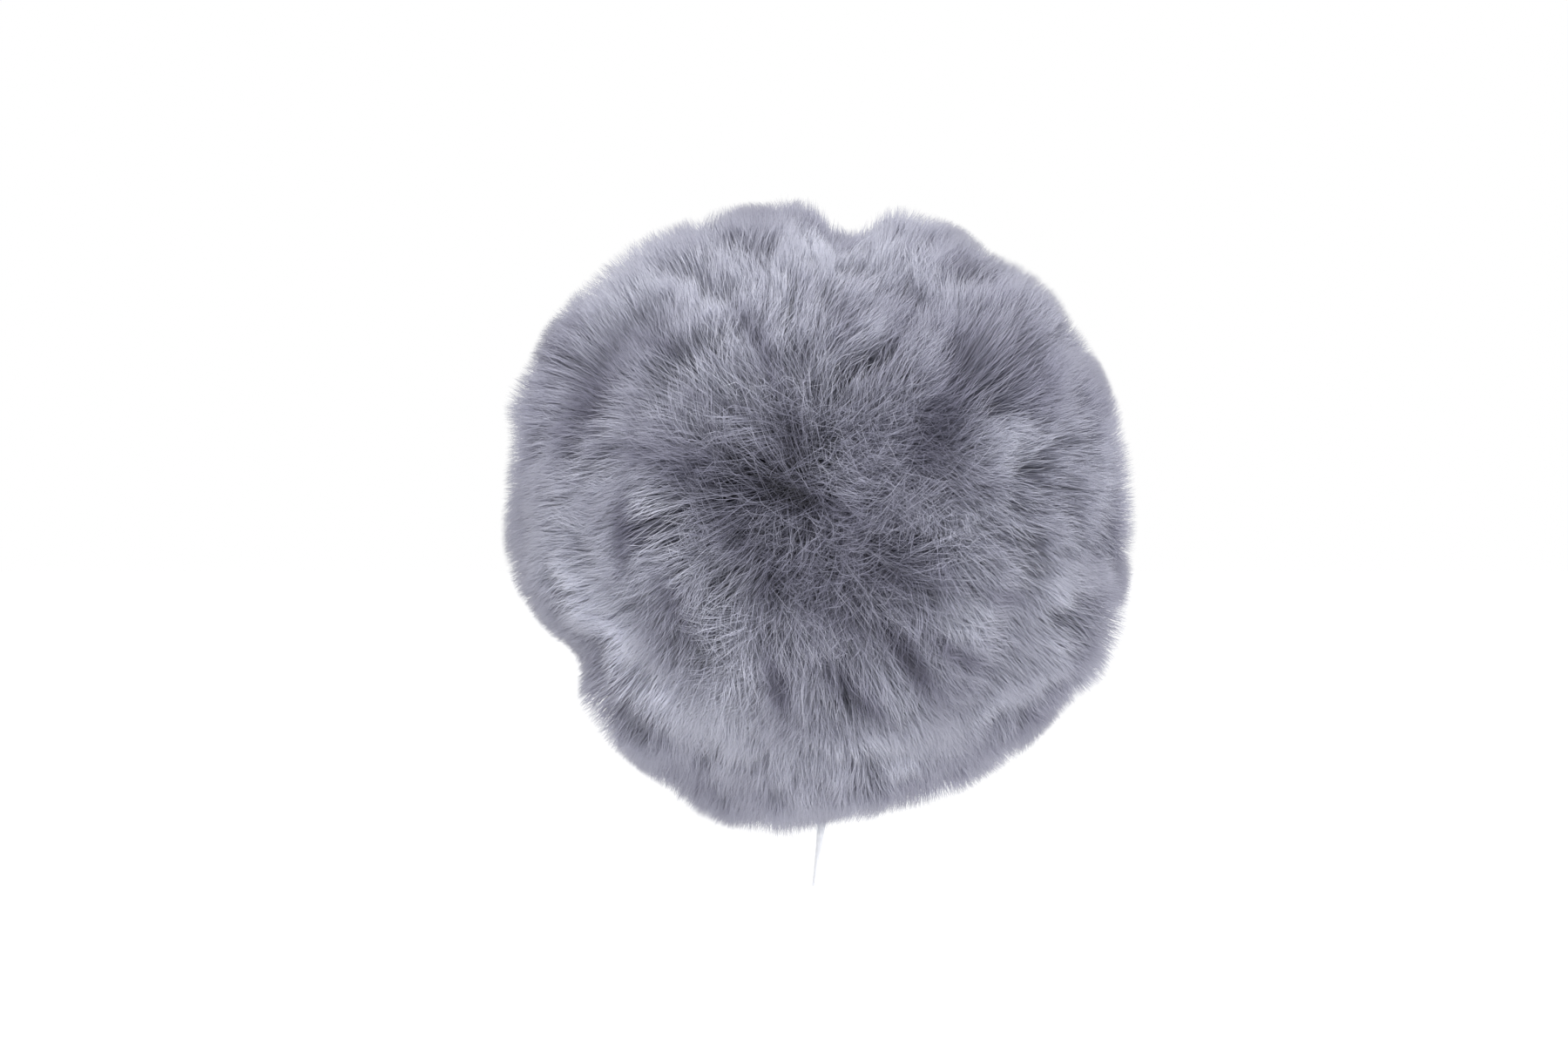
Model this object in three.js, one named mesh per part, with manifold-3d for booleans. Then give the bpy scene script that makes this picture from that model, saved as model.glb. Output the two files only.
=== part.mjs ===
// Furry ball windscreen for a pencil microphone.
//
// A foam ball with a blind microphone bore carries a rigid hub ring and a rubber grip collar.
// A removable cover of six long-pile fur gores goes over the ball, and a drawcord in its hem
// casing draws it tight in the groove of the hub ring. The cord's two tails hang behind the
// ball and run through a spring-loaded cord lock.
//
// Units are millimetres. +Z is up, the microphone leaves towards +Y and the ball's crown looks
// along -Y. The origin is the centre of the grip collar's rear face.

import * as THREE from 'three';
import { mergeVertices } from 'three/addons/utils/BufferGeometryUtils.js';
import Module from 'manifold-3d';

const wasm = await Module();
wasm.setup();

// ---- driving dimensions ----

const GAP = 0.3; // clearance between pieces that touch
const TURNED_SEGMENTS = 36;
const SHELL_STEPS = 12; // along a meridian of the ball's shells
const BACK = 58; // ball centre to the collar's rear face

const FUR_RADIUS = 59; // outside of the combed-out pile
const SKIN_RADIUS = 35.3; // inside of the fur's knitted backing
const FUR_REAR_RADIUS = 27.5; // pile's opening round the collar, at its outer end
const HEM_ANGLE = 41; // from the rear axis to the backing's rear edge, degrees
const GORES = 6;
const FIRST_SEAM = 40; // degrees from +X towards +Z

const TAPE_THICKNESS = 0.6;
const TAPE_WIDTH = 7;
const TAPE_START = 7.9; // from the crown's axis
const CROWN_TAB_RADIUS = 7.4;

const MIC_RADIUS = 10.5;
const BORE_END = -8; // blind end of the microphone bore, from the ball's centre
const FOAM_FLAT = 24.1; // the foam ball's flat rear face, from its centre
const HUB_FRONT = 14; // front end of the hub's tube, inside the foam
const HUB_TUBE = { inner: 13.8, outer: 15.2 };
const HUB_FLANGE = { radius: 21.5, thickness: 1.8 };
const HUB_NECK = 14.9;
const HUB_LIP = { radius: 15.7, width: 1.5 };

const COLLAR_FRONT = 16;
const COLLAR_OUTER = 13.5;
const COLLAR_SHOULDER = 16;
const COLLAR_GRIP = 14.6;
const COLLAR_FLANGE = { radius: 16.5, thickness: 4 };

const CASING = { inner: 15.2, outer: 21.2, front: 26.5, rear: 31.5, corner: 1.4 };
const CHANNEL_RADIUS = 1.45; // the drawcord's channel inside the casing
const EYELET_ANGLE = 11; // each side of straight down, degrees
const EYELET = { hole: 1.85, outer: 1.55, inner: 1.2, flange: 2.1, flangeThickness: 0.5 };

const CORD_RADIUS = 0.9;
const CORD_SIDES = 8;
const CORD_BEND = 2; // where the cord turns from the channel into an eyelet
const CORD_PITCH = 2 * CORD_RADIUS + GAP; // between the two tails inside the lock

const LOCK = { y: 3, z: -53 }; // centre of the lock's cord slot
const LOCK_TRAVEL = 2.8;
const BARREL = { radius: 6.2, bore: 4.9, closedEnd: -12, boreEnd: -10, openEnd: 7.2, corner: 1 };
const PLUNGER = { radius: 4.6, front: -4.4, headRadius: 5.8, headThickness: 2, corner: 0.6 };
const SPRING = { radius: 3.4, wire: 0.28, turns: 3.5 };

// The tails' routes from their eyelets, in the row frame: out of the hem, down onto the pile,
// over its rear edge and straight down behind the ball.
const RIGHT_TAIL = [
  [3.47, -26.5, -17.87], [3.47, -24.7, -17.95], [3.46, -22.6, -18.5], [3.43, -20.4, -19.9],
  [3.37, -18.0, -21.7], [3.28, -15.2, -23.3], [3.1, -12.0, -24.3], [2.8, -8.8, -25.0],
  [2.4, -5.8, -25.7], [2.0, -3.0, -26.9], [1.6, -0.6, -28.8], [1.3, 1.3, -31.4],
  [1.12, 2.5, -34.5], [1.05, 3.0, -38.0], [1.05, 3.0, -42.0], [1.05, 3.0, -47.0],
  [1.05, 3.0, -52.0], [1.05, 3.0, -57.0], [1.05, 3.0, -60.5], [0.9, 3.0, -64.0],
  [0.45, 3.0, -68.0], [-0.15, 3.0, -72.3], [-0.7, 3.0, -76.5],
];
const LEFT_TAIL = [
  [-3.47, -26.5, -17.87], [-3.47, -24.7, -17.95], [-3.46, -22.6, -18.5], [-3.43, -20.4, -19.9],
  [-3.37, -18.0, -21.7], [-3.28, -15.2, -23.3], [-3.1, -12.0, -24.3], [-2.8, -8.8, -25.0],
  [-2.4, -5.8, -25.7], [-2.0, -3.0, -26.9], [-1.6, -0.6, -28.8], [-1.3, 1.3, -31.4],
  [-1.12, 2.5, -34.5], [-1.05, 3.0, -38.0], [-1.05, 3.0, -42.0], [-1.05, 3.0, -47.0],
  [-1.05, 3.0, -52.0], [-1.05, 3.0, -57.0], [-1.05, 3.0, -60.5], [-1.1, 3.0, -62.5],
];

// ---- materials ----

const material = (color, roughness, metalness = 0) =>
  new THREE.MeshStandardMaterial({ color, roughness, metalness });

const FUR = material(0x8f8fa0, 1);
const TAPE = material(0x3a3a42, 0.9);
const FOAM = material(0x34343a, 1);
const CLOTH = material(0x55555f, 0.9);
const CORD = material(0xc9ccd8, 0.8);
const RUBBER = material(0x1c1c1f, 0.7);
const PLASTIC = material(0x26262a, 0.45);
const STEEL = material(0xb9bbc0, 0.3, 1);

// ---- shape helpers ----

const radians = THREE.MathUtils.degToRad;
const point = (x, y) => new THREE.Vector2(x, y);

// Points on a circular arc in the lathe plane, from angle a to angle b in degrees.
function arc(cx, cy, radius, a, b, steps) {
  return Array.from({ length: steps + 1 }, (_, i) => {
    const angle = radians(a + ((b - a) * i) / steps);
    return point(cx + radius * Math.cos(angle), cy + radius * Math.sin(angle));
  });
}

// A geometry with shared corners and without the empty triangles at a lathe's poles.
function welded(geometry) {
  const bare = geometry.index ? geometry.toNonIndexed() : geometry;
  bare.deleteAttribute('normal');
  bare.deleteAttribute('uv');
  const merged = mergeVertices(bare, 1e-4);
  const kept = [];
  for (let i = 0; i < merged.index.count; i += 3) {
    const [a, b, c] = [0, 1, 2].map((k) => merged.index.getX(i + k));
    if (a !== b && b !== c && c !== a) kept.push(a, b, c);
  }
  merged.setIndex(kept);
  return merged;
}

function solid(geometry) {
  const mesh = welded(geometry);
  return new wasm.Manifold(new wasm.Mesh({
    numProp: 3,
    vertProperties: new Float32Array(mesh.attributes.position.array),
    triVerts: new Uint32Array(mesh.index.array),
  }));
}

function geometryOf(manifold) {
  const mesh = manifold.getMesh();
  const geometry = new THREE.BufferGeometry();
  geometry.setAttribute('position', new THREE.BufferAttribute(mesh.vertProperties, 3));
  geometry.setIndex(new THREE.BufferAttribute(mesh.triVerts, 1));
  return geometry;
}

// A turned shape about Y. The outline runs with the material on its left.
const turned = (outline, segments = TURNED_SEGMENTS) => new THREE.LatheGeometry(outline, segments);
const turnedRing = (outline, segments) => turned([...outline, outline[0]], segments);

// A round section drawn along a curve through the points.
function drawn(points, radius, sides, steps) {
  const section = new THREE.Shape(arc(0, 0, radius, 0, 360 - 360 / sides, sides - 1));
  const path = new THREE.CatmullRomCurve3(points.map((p) => new THREE.Vector3(...p)), false,
    'centripetal');
  return new THREE.ExtrudeGeometry(section, { steps, extrudePath: path, bevelEnabled: false });
}

// A prism along Y whose outline is given in X and Z.
function prism(outline, from, to) {
  const geometry = new THREE.ExtrudeGeometry(new THREE.Shape(outline), {
    depth: to - from,
    bevelEnabled: false,
  });
  return geometry.rotateX(Math.PI / 2).translate(0, to, 0);
}

const group = new THREE.Group();
const ball = new THREE.Group();
ball.position.y = -BACK;
const cordLock = new THREE.Group();
cordLock.position.set(0, LOCK.y, LOCK.z);
group.add(ball, cordLock);

function add(parent, name, geometry, look) {
  const mesh = new THREE.Mesh(welded(geometry), look);
  mesh.name = name;
  parent.add(mesh);
  return mesh;
}

// ---- foam ball, hub ring and grip collar ----

// Angles in the lathe plane: -90 is the crown, 90 the rear.
const foamRadius = SKIN_RADIUS - 3 * GAP - TAPE_THICKNESS;
const foamEdge = THREE.MathUtils.radToDeg(Math.asin(FOAM_FLAT / foamRadius));

function foamCore() {
  const socket = HUB_TUBE.outer + GAP;
  return turned([
    point(0, -foamRadius),
    ...arc(0, 0, foamRadius, -90, foamEdge, SHELL_STEPS).slice(1),
    point(socket, FOAM_FLAT),
    point(socket, HUB_FRONT - GAP),
    point(MIC_RADIUS, HUB_FRONT - GAP),
    point(MIC_RADIUS, BORE_END),
    point(0, BORE_END),
  ]);
}

const flangeFront = FOAM_FLAT + GAP;
const flangeRear = flangeFront + HUB_FLANGE.thickness;
const lipFront = CASING.rear + GAP;
const hubRear = lipFront + HUB_LIP.width;

function hubRing() {
  return turnedRing([
    point(HUB_TUBE.inner, HUB_FRONT),
    point(HUB_TUBE.outer, HUB_FRONT),
    point(HUB_TUBE.outer, flangeFront),
    point(HUB_FLANGE.radius, flangeFront),
    point(HUB_FLANGE.radius, flangeRear),
    point(HUB_NECK, flangeRear),
    point(HUB_NECK, lipFront),
    point(HUB_LIP.radius, lipFront + 0.6),
    point(HUB_LIP.radius, hubRear),
    point(HUB_TUBE.inner, hubRear),
  ]);
}

function gripCollar() {
  const shoulderFront = hubRear + GAP;
  const gripFront = shoulderFront + 3;
  const flangeStart = BACK - COLLAR_FLANGE.thickness;
  const ribs = 3;
  const ribPitch = (flangeStart - gripFront) / ribs;
  const outside = [
    point(COLLAR_OUTER, COLLAR_FRONT),
    point(COLLAR_OUTER, shoulderFront),
    point(COLLAR_SHOULDER, shoulderFront),
    point(COLLAR_SHOULDER, gripFront - 0.8),
    point(COLLAR_SHOULDER - 0.8, gripFront),
  ];
  for (let i = 0; i < ribs; i += 1) {
    const y = gripFront + i * ribPitch;
    outside.push(
      point(COLLAR_GRIP - 0.7, y + 0.6),
      point(COLLAR_GRIP - 0.7, y + 0.35 * ribPitch),
      point(COLLAR_GRIP + 0.3, y + 0.5 * ribPitch),
      point(COLLAR_GRIP + 0.3, y + ribPitch - 0.5),
    );
  }
  const mouth = [
    point(COLLAR_FLANGE.radius - 0.6, flangeStart),
    point(COLLAR_FLANGE.radius, flangeStart + 0.8),
    point(COLLAR_FLANGE.radius, BACK - 0.8),
    point(COLLAR_FLANGE.radius - 0.8, BACK),
    point(MIC_RADIUS + 1.5, BACK),
    point(MIC_RADIUS, BACK - 1.5),
    point(MIC_RADIUS, COLLAR_FRONT),
  ];
  return turnedRing([...outside, ...mouth]);
}

add(ball, 'foam_core', foamCore(), FOAM);
add(ball, 'hub_ring', hubRing(), PLASTIC);
add(ball, 'grip_collar', gripCollar(), RUBBER);

// ---- fur cover: gores, seam tapes and crown tab ----

const hemEdge = 90 - HEM_ANGLE;
const pileEdge = 90 - THREE.MathUtils.radToDeg(Math.asin(FUR_REAR_RADIUS / FUR_RADIUS));

// A ball's shell from the crown to the rear opening.
function shell(outer, outerEnd, inner, innerEnd) {
  return turned([
    point(0, -outer),
    ...arc(0, 0, outer, -90, outerEnd, SHELL_STEPS).slice(1),
    ...arc(0, 0, inner, innerEnd, -90, SHELL_STEPS).slice(0, -1),
    point(0, -inner),
  ]);
}

const seamAngle = (i) => FIRST_SEAM + (i * 360) / GORES;

// The sector between two seams, drawn in by half a gap on both sides.
function sector(i) {
  const half = 180 / GORES;
  const middle = seamAngle(i) + half;
  const reach = 2 * FUR_RADIUS;
  const tip = GAP / 2 / Math.sin(radians(half));
  const at = (angle, length) =>
    point(length * Math.cos(radians(angle)), length * Math.sin(radians(angle)));
  const apex = at(middle, tip);
  const corners = [seamAngle(i), seamAngle(i + 1)].map((a) => at(a, reach).add(apex));
  return solid(prism([apex, ...corners], -reach, reach));
}

const pile = solid(shell(FUR_RADIUS, pileEdge, SKIN_RADIUS, hemEdge));
for (let i = 0; i < GORES; i += 1) {
  add(ball, `fur_gore_${i + 1}`, geometryOf(pile.intersect(sector(i))), FUR);
}

const tapeOuter = SKIN_RADIUS - GAP;
const tapeShell = solid(shell(tapeOuter, hemEdge, tapeOuter - TAPE_THICKNESS, hemEdge));

function seamTape(i) {
  const length = tapeOuter;
  const strip = new THREE.BoxGeometry(length, 3 * tapeOuter, TAPE_WIDTH);
  strip.translate(TAPE_START + length / 2, 0, 0).rotateY(-radians(seamAngle(i)));
  return geometryOf(tapeShell.intersect(solid(strip)));
}

for (let i = 0; i < GORES; i += 1) {
  add(ball, `seam_tape_${i + 1}`, seamTape(i), TAPE);
}

const crownDisc = new THREE.CylinderGeometry(CROWN_TAB_RADIUS, CROWN_TAB_RADIUS, tapeOuter, 24);
crownDisc.translate(0, -tapeOuter, 0);
add(ball, 'crown_tab', geometryOf(tapeShell.intersect(solid(crownDisc))), TAPE);

// ---- hem casing, drawcord and eyelets ----

const cordCircle = (CASING.inner + CASING.outer) / 2;
const cordPlane = (CASING.front + CASING.rear) / 2;

// A place on the drawcord's circle, in degrees from +X towards +Z.
function onCircle(degrees, y = cordPlane) {
  return [cordCircle * Math.cos(radians(degrees)), y, cordCircle * Math.sin(radians(degrees))];
}

const eyeletAngles = { right: -90 + EYELET_ANGLE, left: 270 - EYELET_ANGLE };

function hemCasing() {
  const c = CASING.corner;
  const corners = [
    [CASING.inner + c, CASING.front + c, 180],
    [CASING.outer - c, CASING.front + c, 270],
    [CASING.outer - c, CASING.rear - c, 0],
    [CASING.inner + c, CASING.rear - c, 90],
  ];
  const outline = corners.flatMap(([x, y, a]) => arc(x, y, c, a, a + 90, 2));
  const channel = new THREE.TorusGeometry(cordCircle, CHANNEL_RADIUS, 8, 48);
  channel.rotateX(Math.PI / 2).translate(0, cordPlane, 0);
  let casing = solid(turnedRing(outline)).subtract(solid(channel));
  for (const angle of Object.values(eyeletAngles)) {
    const depth = CASING.rear - cordPlane + 1;
    const hole = new THREE.CylinderGeometry(EYELET.hole, EYELET.hole, depth, 16);
    hole.translate(...onCircle(angle, cordPlane + depth / 2));
    casing = casing.subtract(solid(hole));
  }
  return geometryOf(casing);
}

// The cord in the channel, with both ends turned rearwards into the eyelets.
function hemDrawcord() {
  const turn = THREE.MathUtils.radToDeg(CORD_BEND / cordCircle);
  const end = RIGHT_TAIL[0][1] + BACK - GAP;
  const bend = [90, 60, 30].map((a) => ({
    offset: turn * (1 - Math.sin(radians(a))),
    y: cordPlane + CORD_BEND * (1 - Math.cos(radians(a))),
  }));
  const points = [onCircle(eyeletAngles.right, end)];
  points.push(...bend.map(({ offset, y }) => onCircle(eyeletAngles.right + offset, y)));
  const spans = 20;
  const from = eyeletAngles.right + turn;
  const to = eyeletAngles.left - turn;
  for (let i = 0; i <= spans; i += 1) points.push(onCircle(from + ((to - from) * i) / spans));
  points.push(...bend.reverse().map(({ offset, y }) => onCircle(eyeletAngles.left - offset, y)));
  points.push(onCircle(eyeletAngles.left, end));
  return drawn(points, CORD_RADIUS, CORD_SIDES, 52);
}

function eyelet(angle) {
  const front = cordPlane + CHANNEL_RADIUS + GAP;
  const flangeStart = CASING.rear + GAP;
  const ring = turnedRing([
    point(EYELET.inner, front),
    point(EYELET.outer, front),
    point(EYELET.outer, flangeStart),
    point(EYELET.flange, flangeStart),
    point(EYELET.flange, flangeStart + EYELET.flangeThickness),
    point(EYELET.inner, flangeStart + EYELET.flangeThickness),
  ], 16);
  return ring.translate(...onCircle(angle, 0));
}

add(ball, 'hem_casing', hemCasing(), CLOTH);
add(ball, 'hem_drawcord', hemDrawcord(), CORD);
for (const [side, angle] of Object.entries(eyeletAngles)) {
  add(ball, `eyelet_${side}`, eyelet(angle), STEEL);
}

// ---- the drawcord's tails ----

add(group, 'cord_tail_right', drawn(RIGHT_TAIL, CORD_RADIUS, CORD_SIDES, 30), CORD);
add(group, 'cord_tail_left', drawn(LEFT_TAIL, CORD_RADIUS, CORD_SIDES, 24), CORD);

// ---- cord lock: barrel, plunger and spring, along X ----

// A vertical slot with round ends, from one end of X to the other.
function cordSlot(from, to, height) {
  const r = CORD_RADIUS + GAP;
  const slot = new THREE.Shape([
    ...arc(to - r, 0, r, -90, 90, 6),
    ...arc(from + r, 0, r, 90, 270, 6),
  ]);
  const geometry = new THREE.ExtrudeGeometry(slot, { depth: height, bevelEnabled: false });
  return solid(geometry.translate(0, 0, -height / 2));
}

// Turned about Y, then laid along X.
const laid = (outline) => turned(outline, 28).rotateZ(-Math.PI / 2);
const slotHalf = CORD_PITCH / 2 + CORD_RADIUS + GAP;
const slotHeight = 3 * BARREL.radius;

function lockBarrel() {
  const { radius, bore, closedEnd, boreEnd, openEnd, corner } = BARREL;
  const body = laid([
    point(0, closedEnd),
    ...arc(radius - corner, closedEnd + corner, corner, -90, 0, 3),
    ...arc(radius - corner, openEnd - corner, corner, 0, 90, 3),
    point(bore, openEnd),
    point(bore, boreEnd),
    point(0, boreEnd),
  ]);
  return geometryOf(solid(body).subtract(cordSlot(-slotHalf, slotHalf, slotHeight)));
}

const headStart = BARREL.openEnd + GAP + LOCK_TRAVEL;

function lockPlunger() {
  const { radius, front, headRadius, headThickness, corner } = PLUNGER;
  const headEnd = headStart + headThickness;
  const body = laid([
    point(0, front),
    point(radius, front),
    point(radius, headStart),
    point(headRadius, headStart),
    ...arc(headRadius - corner, headEnd - corner, corner, 0, 90, 3),
    point(0, headEnd),
  ]);
  return geometryOf(solid(body).subtract(cordSlot(-slotHalf, slotHalf + LOCK_TRAVEL, slotHeight)));
}

function lockSpring() {
  const from = BARREL.boreEnd + GAP + SPRING.wire;
  const to = PLUNGER.front - GAP - SPRING.wire;
  const perTurn = 12;
  const count = SPRING.turns * perTurn;
  const coil = Array.from({ length: count + 1 }, (_, i) => {
    const angle = (2 * Math.PI * i) / perTurn;
    return [
      from + ((to - from) * i) / count,
      SPRING.radius * Math.cos(angle),
      SPRING.radius * Math.sin(angle),
    ];
  });
  return drawn(coil, SPRING.wire, 6, count);
}

add(cordLock, 'lock_barrel', lockBarrel(), PLASTIC);
add(cordLock, 'lock_plunger', lockPlunger(), PLASTIC);
add(cordLock, 'lock_spring', lockSpring(), STEEL);

export default group;
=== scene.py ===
"""Looks of a furry ball windscreen: fur, foam, rubber, hem, cord and cord lock, in metres."""

import math

import bmesh
import bpy
import numpy as np
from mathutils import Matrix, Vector


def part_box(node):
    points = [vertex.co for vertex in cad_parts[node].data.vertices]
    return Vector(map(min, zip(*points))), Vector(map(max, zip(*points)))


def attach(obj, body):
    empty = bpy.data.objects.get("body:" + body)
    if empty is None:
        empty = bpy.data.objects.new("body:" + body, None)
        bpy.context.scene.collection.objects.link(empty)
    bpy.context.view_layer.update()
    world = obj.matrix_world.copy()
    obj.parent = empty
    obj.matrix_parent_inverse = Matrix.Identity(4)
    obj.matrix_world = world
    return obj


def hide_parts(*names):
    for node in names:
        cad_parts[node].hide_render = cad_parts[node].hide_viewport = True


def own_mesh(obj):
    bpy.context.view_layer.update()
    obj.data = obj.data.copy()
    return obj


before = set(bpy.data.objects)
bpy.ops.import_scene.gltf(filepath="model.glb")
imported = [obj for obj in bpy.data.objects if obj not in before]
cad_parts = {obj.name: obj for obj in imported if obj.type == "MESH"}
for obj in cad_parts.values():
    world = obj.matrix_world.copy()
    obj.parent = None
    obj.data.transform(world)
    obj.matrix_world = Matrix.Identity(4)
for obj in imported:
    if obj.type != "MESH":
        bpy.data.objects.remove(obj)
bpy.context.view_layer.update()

MM = 0.001
CLEAR = 0.3 * MM  # the gap between pieces that touch
BALL_BODY = "windscreen"
GORES = [f"fur_gore_{i}" for i in range(1, 7)]
FIRST_SEAM = math.radians(40)
SEAM_STEP = math.tau / len(GORES)

# ---- places taken from the frame ----

gore_boxes = np.array([[tuple(corner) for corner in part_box(name)] for name in GORES])
fur_low = gore_boxes[:, 0].min(axis=0)
fur_high = gore_boxes[:, 1].max(axis=0)
CENTRE = np.array([0.0, fur_low[1] + float(fur_high[0] - fur_low[0]) / 2, 0.0])
BACK = float(-CENTRE[1])  # the ball's centre to the collar's rear face
SKIN_RADIUS = float(CENTRE[1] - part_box("crown_tab")[0][1]) + CLEAR  # the backing's inside
HEM_ANGLE = math.radians(139)  # from the crown to the backing's rear edge


def y_ends(node):
    """How far behind the ball's centre a node begins and ends."""
    return [float(corner[1]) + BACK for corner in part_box(node)]


def added(name, data):
    """A new object in the scene, holding a mesh, light or camera."""
    thing = bpy.data.objects.new(name, data)
    bpy.context.collection.objects.link(thing)
    return thing


# ---- camera ----

VIEW_DISTANCE = 1.0
VIEW_WIDTH = 301.7 * MM  # what the frame's width spans at the ball's centre
VIEW_OFFSET = (-6.7 * MM, -2.35 * MM)  # of the frame's centre from the ball's centre


def add_camera():
    data = bpy.data.cameras.new("camera")
    data.lens = data.sensor_width * VIEW_DISTANCE / VIEW_WIDTH
    data.clip_end = 50
    camera = added("camera", data)
    camera.location = (VIEW_OFFSET[0], CENTRE[1] - VIEW_DISTANCE, VIEW_OFFSET[1])
    camera.rotation_euler = (math.radians(90), 0, 0)
    bpy.context.scene.camera = camera


add_camera()

# ---- stage ----

FLOOR_HALF_SIZE = 30.0
FLOOR_HEIGHT = -0.30


def add_floor():
    mesh = bpy.data.meshes.new("floor")
    corners = [(x * FLOOR_HALF_SIZE, y * FLOOR_HALF_SIZE, FLOOR_HEIGHT)
               for x, y in ((-1, -1), (1, -1), (1, 1), (-1, 1))]
    mesh.from_pydata(corners, [], [(0, 1, 2, 3)])
    material = bpy.data.materials.new("pale_floor")
    material.use_nodes = True
    shader = material.node_tree.nodes["Principled BSDF"]
    shader.inputs["Base Color"].default_value = (0.93, 0.93, 0.94, 1)
    shader.inputs["Roughness"].default_value = 1
    shader.inputs["Specular IOR Level"].default_value = 0
    mesh.materials.append(material)
    added("floor", mesh)


def add_area_light(name, place, size, power):
    data = bpy.data.lights.new(name, "AREA")
    data.size = size
    data.energy = power
    light = added(name, data)
    light.location = place
    light.rotation_euler = Vector(CENTRE - np.array(place)).to_track_quat("-Z", "Y").to_euler()


def add_sky_light():
    """A broad light from straight above, which lifts the floor to the background's white."""
    data = bpy.data.lights.new("sky", "SUN")
    data.energy = 0.45
    data.angle = math.radians(120)
    added("sky", data)


def add_world():
    world = bpy.data.worlds.new("studio")
    world.use_nodes = True
    background = world.node_tree.nodes["Background"]
    background.inputs["Color"].default_value = (1.0, 1.0, 1.0, 1)
    background.inputs["Strength"].default_value = 1.0
    bpy.context.scene.world = world


add_floor()
add_world()
add_area_light("key", (-0.5, -1.0, 1.1), 0.8, 14)
add_area_light("fill", (0.9, -0.8, 0.3), 1.0, 6)
add_sky_light()
bpy.context.scene.view_settings.view_transform = "Standard"

# ---- mesh helpers ----

SHARP = 32  # degrees: a crease sharper than this stays a crease
ASKEW = np.array([0.31, 0.52, 0.79])  # along no axis: a line's sides are worked out from it


def unit(v):
    return v / np.maximum(np.linalg.norm(v, axis=-1, keepdims=True), 1e-9)


def smoothstep(low, high, x):
    t = np.clip((x - low) / (high - low), 0, 1)
    return t * t * (3 - 2 * t)


def along_line(points):
    """How far along the line each of its points lies."""
    return np.concatenate([[0], np.cumsum(np.linalg.norm(np.diff(points, axis=0), axis=1))])


def add_attributes(mesh, attributes):
    for key, values in attributes.items():
        layer = mesh.attributes.new(key, "FLOAT", "POINT")
        layer.data.foreach_set("value", values.astype(np.float32).ravel())


def hair_piece(name, vertices, triangles, attributes, chart):
    """A piece of very many triangles; chart holds their corners' places in the bake's layout."""
    mesh = bpy.data.meshes.new(name)
    mesh.vertices.add(len(vertices))
    mesh.vertices.foreach_set("co", vertices.astype(np.float32).ravel())
    mesh.loops.add(len(triangles) * 3)
    mesh.loops.foreach_set("vertex_index", triangles.astype(np.int32).ravel())
    mesh.polygons.add(len(triangles))
    mesh.polygons.foreach_set("loop_start", np.arange(0, len(triangles) * 3, 3, dtype=np.int32))
    mesh.update(calc_edges=True)
    mesh.polygons.foreach_set("use_smooth", np.full(len(triangles), True))
    add_attributes(mesh, attributes)
    layer = mesh.uv_layers.new(name="OFBake")
    layer.data.foreach_set("uv", chart.astype(np.float32).ravel())
    return added(name, mesh)


def smoothed(mesh, sharp):
    mesh.polygons.foreach_set("use_smooth", np.full(len(mesh.polygons), True))
    mesh.set_sharp_from_angle(angle=math.radians(sharp))


def shaped(name, vertices, faces, attributes=None, sharp=SHARP):
    """A mesh piece with its faces pointing out, smooth but for creases sharper than the angle."""
    mesh = bpy.data.meshes.new(name)
    mesh.from_pydata([tuple(v) for v in vertices], [], [tuple(int(i) for i in f) for f in faces])
    edit = bmesh.new()
    edit.from_mesh(mesh)
    bmesh.ops.recalc_face_normals(edit, faces=edit.faces)
    edit.to_mesh(mesh)
    edit.free()
    add_attributes(mesh, attributes or {})
    smoothed(mesh, sharp)
    return added(name, mesh)


def dressed(piece, look, slot, *nodes, body=BALL_BODY):
    """The piece with its material and its place in the part: body and the nodes it stands for. slot is not
    used.
    """
    piece.data.materials.clear()
    piece.data.materials.append(look)
    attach(piece, body)
    if nodes:
        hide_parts(*nodes)
    return piece


# ---- turned, drawn and cut shapes ----


def rounded(outline, radius, closed=True, steps=4):
    """The outline with its corners rounded."""
    points = np.array(outline, float)
    result = []
    for i, here in enumerate(points):
        if not closed and i in (0, len(points) - 1):
            result.append(here)
            continue
        before, after = points[i - 1] - here, points[(i + 1) % len(points)] - here
        reach = min(radius, 0.45 * np.linalg.norm(before), 0.45 * np.linalg.norm(after))
        start, end = here + unit(before) * reach, here + unit(after) * reach
        for t in np.linspace(0, 1, steps + 1):
            result.append((1 - t) ** 2 * start + 2 * t * (1 - t) * here + t * t * end)
    return np.array(result)


def filled_in(outline, spacing, closed=True):
    """The outline with points added, so that no two neighbours are further apart than the spacing."""
    points = np.array(outline, float)
    ends = np.roll(points, -1, axis=0) if closed else points[1:]
    result = []
    for start, end in zip(points, ends):
        count = max(1, math.ceil(np.linalg.norm(end - start) / spacing))
        result += [start + (end - start) * k / count for k in range(count)]
    if not closed:
        result.append(points[-1])
    return np.array(result)


def arc(radius, start, end, steps, middle=(0.0, 0.0)):
    """Points round a circle in the (radius, behind) plane, in degrees, -90 towards the crown."""
    angles = np.radians(np.linspace(start, end, steps + 1))
    return np.stack([middle[0] + radius * np.cos(angles), middle[1] + radius * np.sin(angles)], axis=1)


def joined_rows(rows, segments, closed):
    """Faces between rings of corners; a ring may be a single point."""
    faces = []
    following = rows[1:] + rows[:1] if closed else rows[1:]
    for low, high in zip(rows, following):
        for k in range(segments):
            after = (k + 1) % segments
            corners = (low[k % len(low)], low[after % len(low)], high[after % len(high)],
                       high[k % len(high)])
            faces.append(tuple(dict.fromkeys(corners)))
    return faces


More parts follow.
